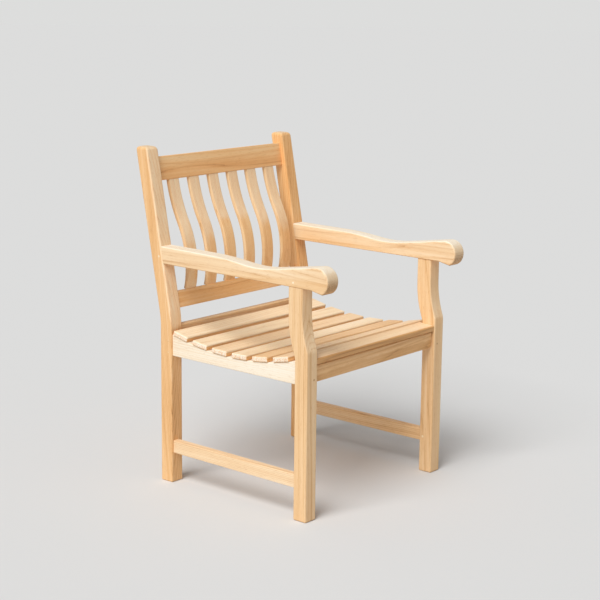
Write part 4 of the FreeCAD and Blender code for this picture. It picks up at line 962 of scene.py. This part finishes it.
def arc_of(centre, radius, angles):
    """Points of an arc."""
    return [(centre.x + radius * math.cos(angle), centre.y + radius * math.sin(angle)) for angle in angles]


def slat_line(behind):
    """One sawn line of a back slat, from the foot to the head, behind its front face by a distance."""
    turn = direction_from(belly_centre, hollow_centre)
    start = direction_from(belly_centre, foot) % math.tau
    belly = numpy.linspace(start, turn % math.tau, BELLY_POINTS)
    hollow = numpy.linspace(turn - math.pi, 0, HOLLOW_POINTS)[1:]
    points = (arc_of(belly_centre, BELLY_ROUND - behind, belly)
              + arc_of(hollow_centre, HOLLOW_ROUND + behind, hollow))
    points = [(points[0][0], points[0][1] - SUNK), *points, (points[-1][0], points[-1][1] + SUNK)]
    return [up_the_rake(up, away) for away, up in points]


slat_sections = stations(slat_line(0), slat_line(BACK_SLAT_THICKNESS), along=1)
print("sections of a back slat:", len(slat_sections))

# %% [markdown]
# One slat is pulled and copied at even gaps. Painted light makes the fronts paler above and oranger below,
# as if lit by the sky above and by light bounced from the seat below, from a different height on each slat.
# A painted shade makes the sawn sides darker than the fronts.

# %% Back slats
BACK_SLAT_WIDTH = 42
BACK_SLAT_EDGE = 4.5
PAINTED_LIGHT_FROM = (-36, -32, -16, -18, -28, -32)
PAINTED_LIGHT_UPWARDS = 0.15
painted_light_way = BEHIND_THE_BACK + PAINTED_LIGHT_UPWARDS * UP_THE_BACK
pattern = pull_stick("teak_back_slat", 0, BACK_SLAT_WIDTH, slat_sections[1:-1], upright=True)
ease(pattern, BACK_SLAT_EDGE)
gap = (2 * INNER_FACE - len(PAINTED_LIGHT_FROM) * BACK_SLAT_WIDTH) / (len(PAINTED_LIGHT_FROM) + 1)
for number, start in enumerate(PAINTED_LIGHT_FROM, start=1):
    name = f"back_slat_{number}"
    slat = copy_of(pattern, f"teak_{name}")
    slat.location.x = (number * (gap + BACK_SLAT_WIDTH) - BACK_SLAT_WIDTH / 2 - INNER_FACE) * MM
    settle(slat)
    # Painted light: paler above and oranger below; painted shade on the sides.
    painted_light_above = SapwoodAndPaintedLight("peach", painted_light_way, start=start, waver=14, blur=8)
    fit(slat, teak(slat, "raked", "apricot", heart=Heart(direction=100, distance=0.15),
                   sapwood_and_painted_light=painted_light_above, painted_side_shade="golden"), name)
bpy.data.objects.remove(pattern)
print("gap between back slats:", round(gap, 1), "mm")

# %% [markdown]
# Round pegs lock the tenons. Only their ends show, as small discs of end grain that stand a hair proud of
# the face, because wood shrinks across the grain but not along it. One peg is modelled: a cylinder whose
# end is inset twice, so that a bevel and a slight dome can be drawn up from its rings.

# %% One peg
PEG_ROUND = 3.5
PEG_SIDES = 32
PEG_BEVEL = 0.35
PEG_PROUD = 0.15
DOME_RING = PEG_ROUND / 3
DOME_RISE = 0.7
PATTERN_LENGTH = 1
bpy.ops.mesh.primitive_cylinder_add(vertices=PEG_SIDES, radius=PEG_ROUND * MM, depth=PATTERN_LENGTH)
peg_pattern = bpy.context.active_object
peg_pattern.name = "teak_peg"
peg_pattern.location.z = -PATTERN_LENGTH / 2
settle(peg_pattern)
bpy.ops.object.mode_set(mode="EDIT")
pick(peg_pattern, "FACE", lambda face: face.normal.z > SQUARELY)
bpy.ops.mesh.inset(thickness=PEG_BEVEL * MM, depth=0)
bpy.ops.mesh.inset(thickness=DOME_RING * MM, depth=0)
bpy.ops.object.mode_set(mode="OBJECT")


def shape_peg(peg, length):
    """Give a copy of the peg its length, and its end a bevel and a dome."""
    for vertex in peg.data.vertices:
        from_axis = vertex.co.xy.length
        if vertex.co.z < -PATTERN_LENGTH / 2:
            vertex.co.z = -length * MM
        elif from_axis > (PEG_ROUND - PEG_BEVEL / 2) * MM:
            vertex.co.z = (PEG_PROUD - PEG_BEVEL) * MM
        elif from_axis > (PEG_ROUND - 2 * PEG_BEVEL) * MM:
            vertex.co.z = PEG_PROUD * MM * DOME_RISE
        else:
            vertex.co.z = PEG_PROUD * MM


print("faces of a peg:", len(peg_pattern.data.polygons))

# %% [markdown]
# Copies of the peg are laid where the drawing has them, and those that belong together are joined. The pegs
# of the front rail get darker ends, which is painted shade. The dowels under the slats can't be seen at
# all, so they stay as the frame has them and only get the same finish.

# %% Pegs and dowels
TENON_HEIGHT = 650
TENON_BEHIND = 13.5
pale_peg_finish = teak(peg_pattern, "back", "cream")
# Painted shade: the front rail's pegs get darker ends.
peg_finishes = {"front_rail_pegs": teak(peg_pattern, "back", "golden", end_colour=PAINTED_SHADE_PEG_ENDS),
                "side_rail_pegs": teak(peg_pattern, "back", "golden")}


def pegs_of(side):
    """The pegs of one side: piece, end (across, back and up), the way it points, and length."""
    outer = side * (HALF_WIDTH - PEG_PROUD)
    inner = side * INNER_FACE
    outwards, inwards, forwards, rearwards = (side, 0, 0), (-side, 0, 0), (0, -1, 0), (0, 1, 0)
    return [
        ("arm_pegs", (outer, post_front_at(TENON_HEIGHT) + TENON_BEHIND, TENON_HEIGHT), outwards, 30),
        ("arm_pegs", (outer, 51.25, 643.5), outwards, 31),
        ("front_rail_pegs", (side * 276, 0, 387.06), forwards, 29),
        ("side_rail_pegs", (outer, 509, 382.28), outwards, 25),
        ("side_rail_pegs", (outer, 509, 414.59), outwards, 25),
        ("rear_rail_pegs", (side * 270, POST_FRONT + POST_DEPTH, 420), rearwards, 34),
        ("back_rail_pegs", (side * 272, *up_the_rake(418.95, POST_DEPTH)), BEHIND_THE_BACK, 26),
        ("back_rail_pegs", (side * 272, *up_the_rake(49.75, POST_DEPTH)), BEHIND_THE_BACK, 36),
        ("stretcher_pegs", (inner, 31.5, 105.5), inwards, 33),
        ("stretcher_pegs", (inner, 509, 105.5), inwards, 33),
    ]


laid = {}
for side in SIDES.values():
    for name, end, way, length in pegs_of(side):
        peg = copy_of(peg_pattern, f"teak_{name}")
        shape_peg(peg, length)
        peg.rotation_euler = Vector(way).normalized().to_track_quat("Z", "Y").to_euler()
        peg.location = at(*end)
        settle(peg)
        bpy.ops.object.shade_smooth_by_angle(angle=SHARP)
        laid.setdefault(name, []).append(peg)
for name, pegs in laid.items():
    use(pegs[0])
    for peg in pegs:
        peg.select_set(True)
    bpy.ops.object.join()
    pegs[0].name = pegs[0].data.name = f"teak_{name}"
    fit(pegs[0], peg_finishes.get(name, pale_peg_finish), name)
bpy.data.objects.remove(peg_pattern)
for name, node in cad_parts.items():
    if "dowels" in name:
        node.data.materials.clear()
        node.data.materials.append(pale_peg_finish)
print("peg ends:", sum(len(pegs) for pegs in laid.values()))

# %% [markdown]
# The chair stands in a plain studio. A pale floor catches its shadow. One distant lamp with a wide disc
# gives soft shadows from high on the left. An area lamp could do the same, but its light would fall off
# across the chair, and the colours would no longer look about as they are written.

# %% Floor and lamp
FLOOR_COLOUR = (0.72, 0.72, 0.715, 1)
FLOOR_RADIUS = 40
FLOOR_SIDES = 96
LAMP_FROM = (-0.64, -0.12, 0.76)
LAMP_STRENGTH = 2.9
LAMP_DISC = math.radians(38)
bpy.ops.mesh.primitive_circle_add(vertices=FLOOR_SIDES, radius=FLOOR_RADIUS, fill_type="NGON",
                                  location=(0, 0, 0))
floor = bpy.context.active_object
floor.name = "studio_floor"
floor_finish = bpy.data.materials.new("studio_floor")
floor_finish.use_nodes = True
shader = floor_finish.node_tree.nodes["Principled BSDF"]
shader.inputs["Base Color"].default_value = FLOOR_COLOUR
shader.inputs["Roughness"].default_value = 1
shader.inputs["Specular IOR Level"].default_value = 0
floor.data.materials.append(floor_finish)

bpy.ops.object.light_add(type="SUN", location=LAMP_FROM)
lamp = bpy.context.active_object
lamp.name = "soft_lamp"
lamp.data.energy = LAMP_STRENGTH
lamp.data.angle = LAMP_DISC
lamp.rotation_euler = Vector(LAMP_FROM).to_track_quat("Z", "Y").to_euler()
print("turn of the lamp:", [round(math.degrees(angle)) for angle in lamp.rotation_euler], "degrees")

# %% [markdown]
# White surroundings light what the lamp doesn't reach. To the camera, and in what is glossy or clear, they
# show the tone of the floor instead, so the backdrop is plain and the light on the chair stays as it is.

# %% Surroundings
BACKDROP_COLOUR = (0.722, 0.724, 0.717, 1)
SURROUNDINGS_COLOUR = (1, 1, 1, 1)
SURROUNDINGS_STRENGTH = 0.30
world = bpy.data.worlds.new("studio")
world.use_nodes = True
tree = world.node_tree
surroundings = tree.nodes["Background"]
surroundings.inputs["Color"].default_value = SURROUNDINGS_COLOUR
surroundings.inputs["Strength"].default_value = SURROUNDINGS_STRENGTH
backdrop = add_node(tree, "ShaderNodeBackground", {"Color": BACKDROP_COLOUR})
ray = add_node(tree, "ShaderNodeLightPath").outputs
seen = math_of(tree, "MAXIMUM", ray["Is Camera Ray"], ray["Is Glossy Ray"])
seen = math_of(tree, "MAXIMUM", seen, ray["Is Transmission Ray"])
inputs = {0: seen, 1: surroundings.outputs[0], 2: backdrop.outputs[0]}
choice = add_node(tree, "ShaderNodeMixShader", inputs)
feed(tree, choice.outputs[0], tree.nodes["World Output"].inputs["Surface"])
bpy.context.scene.world = world
bpy.context.scene.view_settings.view_transform = "Standard"
print("nodes of the surroundings:", len(tree.nodes))

# %% [markdown]
# The camera stands where the photograph was taken from: in front of the chair, well to its left, a little
# above the back, and rather far away, so the lens is long and parallel edges stay nearly parallel.

# %% Camera
CAMERA_PLACE = (-3.2271, -2.73091, 1.4170)
SENSOR_WIDTH = 36
LENS = 91.21
YAW = 0.8681633
PITCH = -0.2098235
ROLL = 0.0115519
bpy.ops.object.camera_add(location=CAMERA_PLACE)
camera = bpy.context.active_object
camera.name = "photo_camera"
camera.data.sensor_width = SENSOR_WIDTH
camera.data.lens = LENS
turn = (Matrix.Rotation(-YAW, 3, "Z") @ Matrix.Rotation(math.pi / 2 + PITCH, 3, "X")
        @ Matrix.Rotation(ROLL, 3, "Z"))
camera.rotation_euler = turn.to_euler()
bpy.context.scene.camera = camera
print("the camera is", round(camera.location.length, 2), "m away")
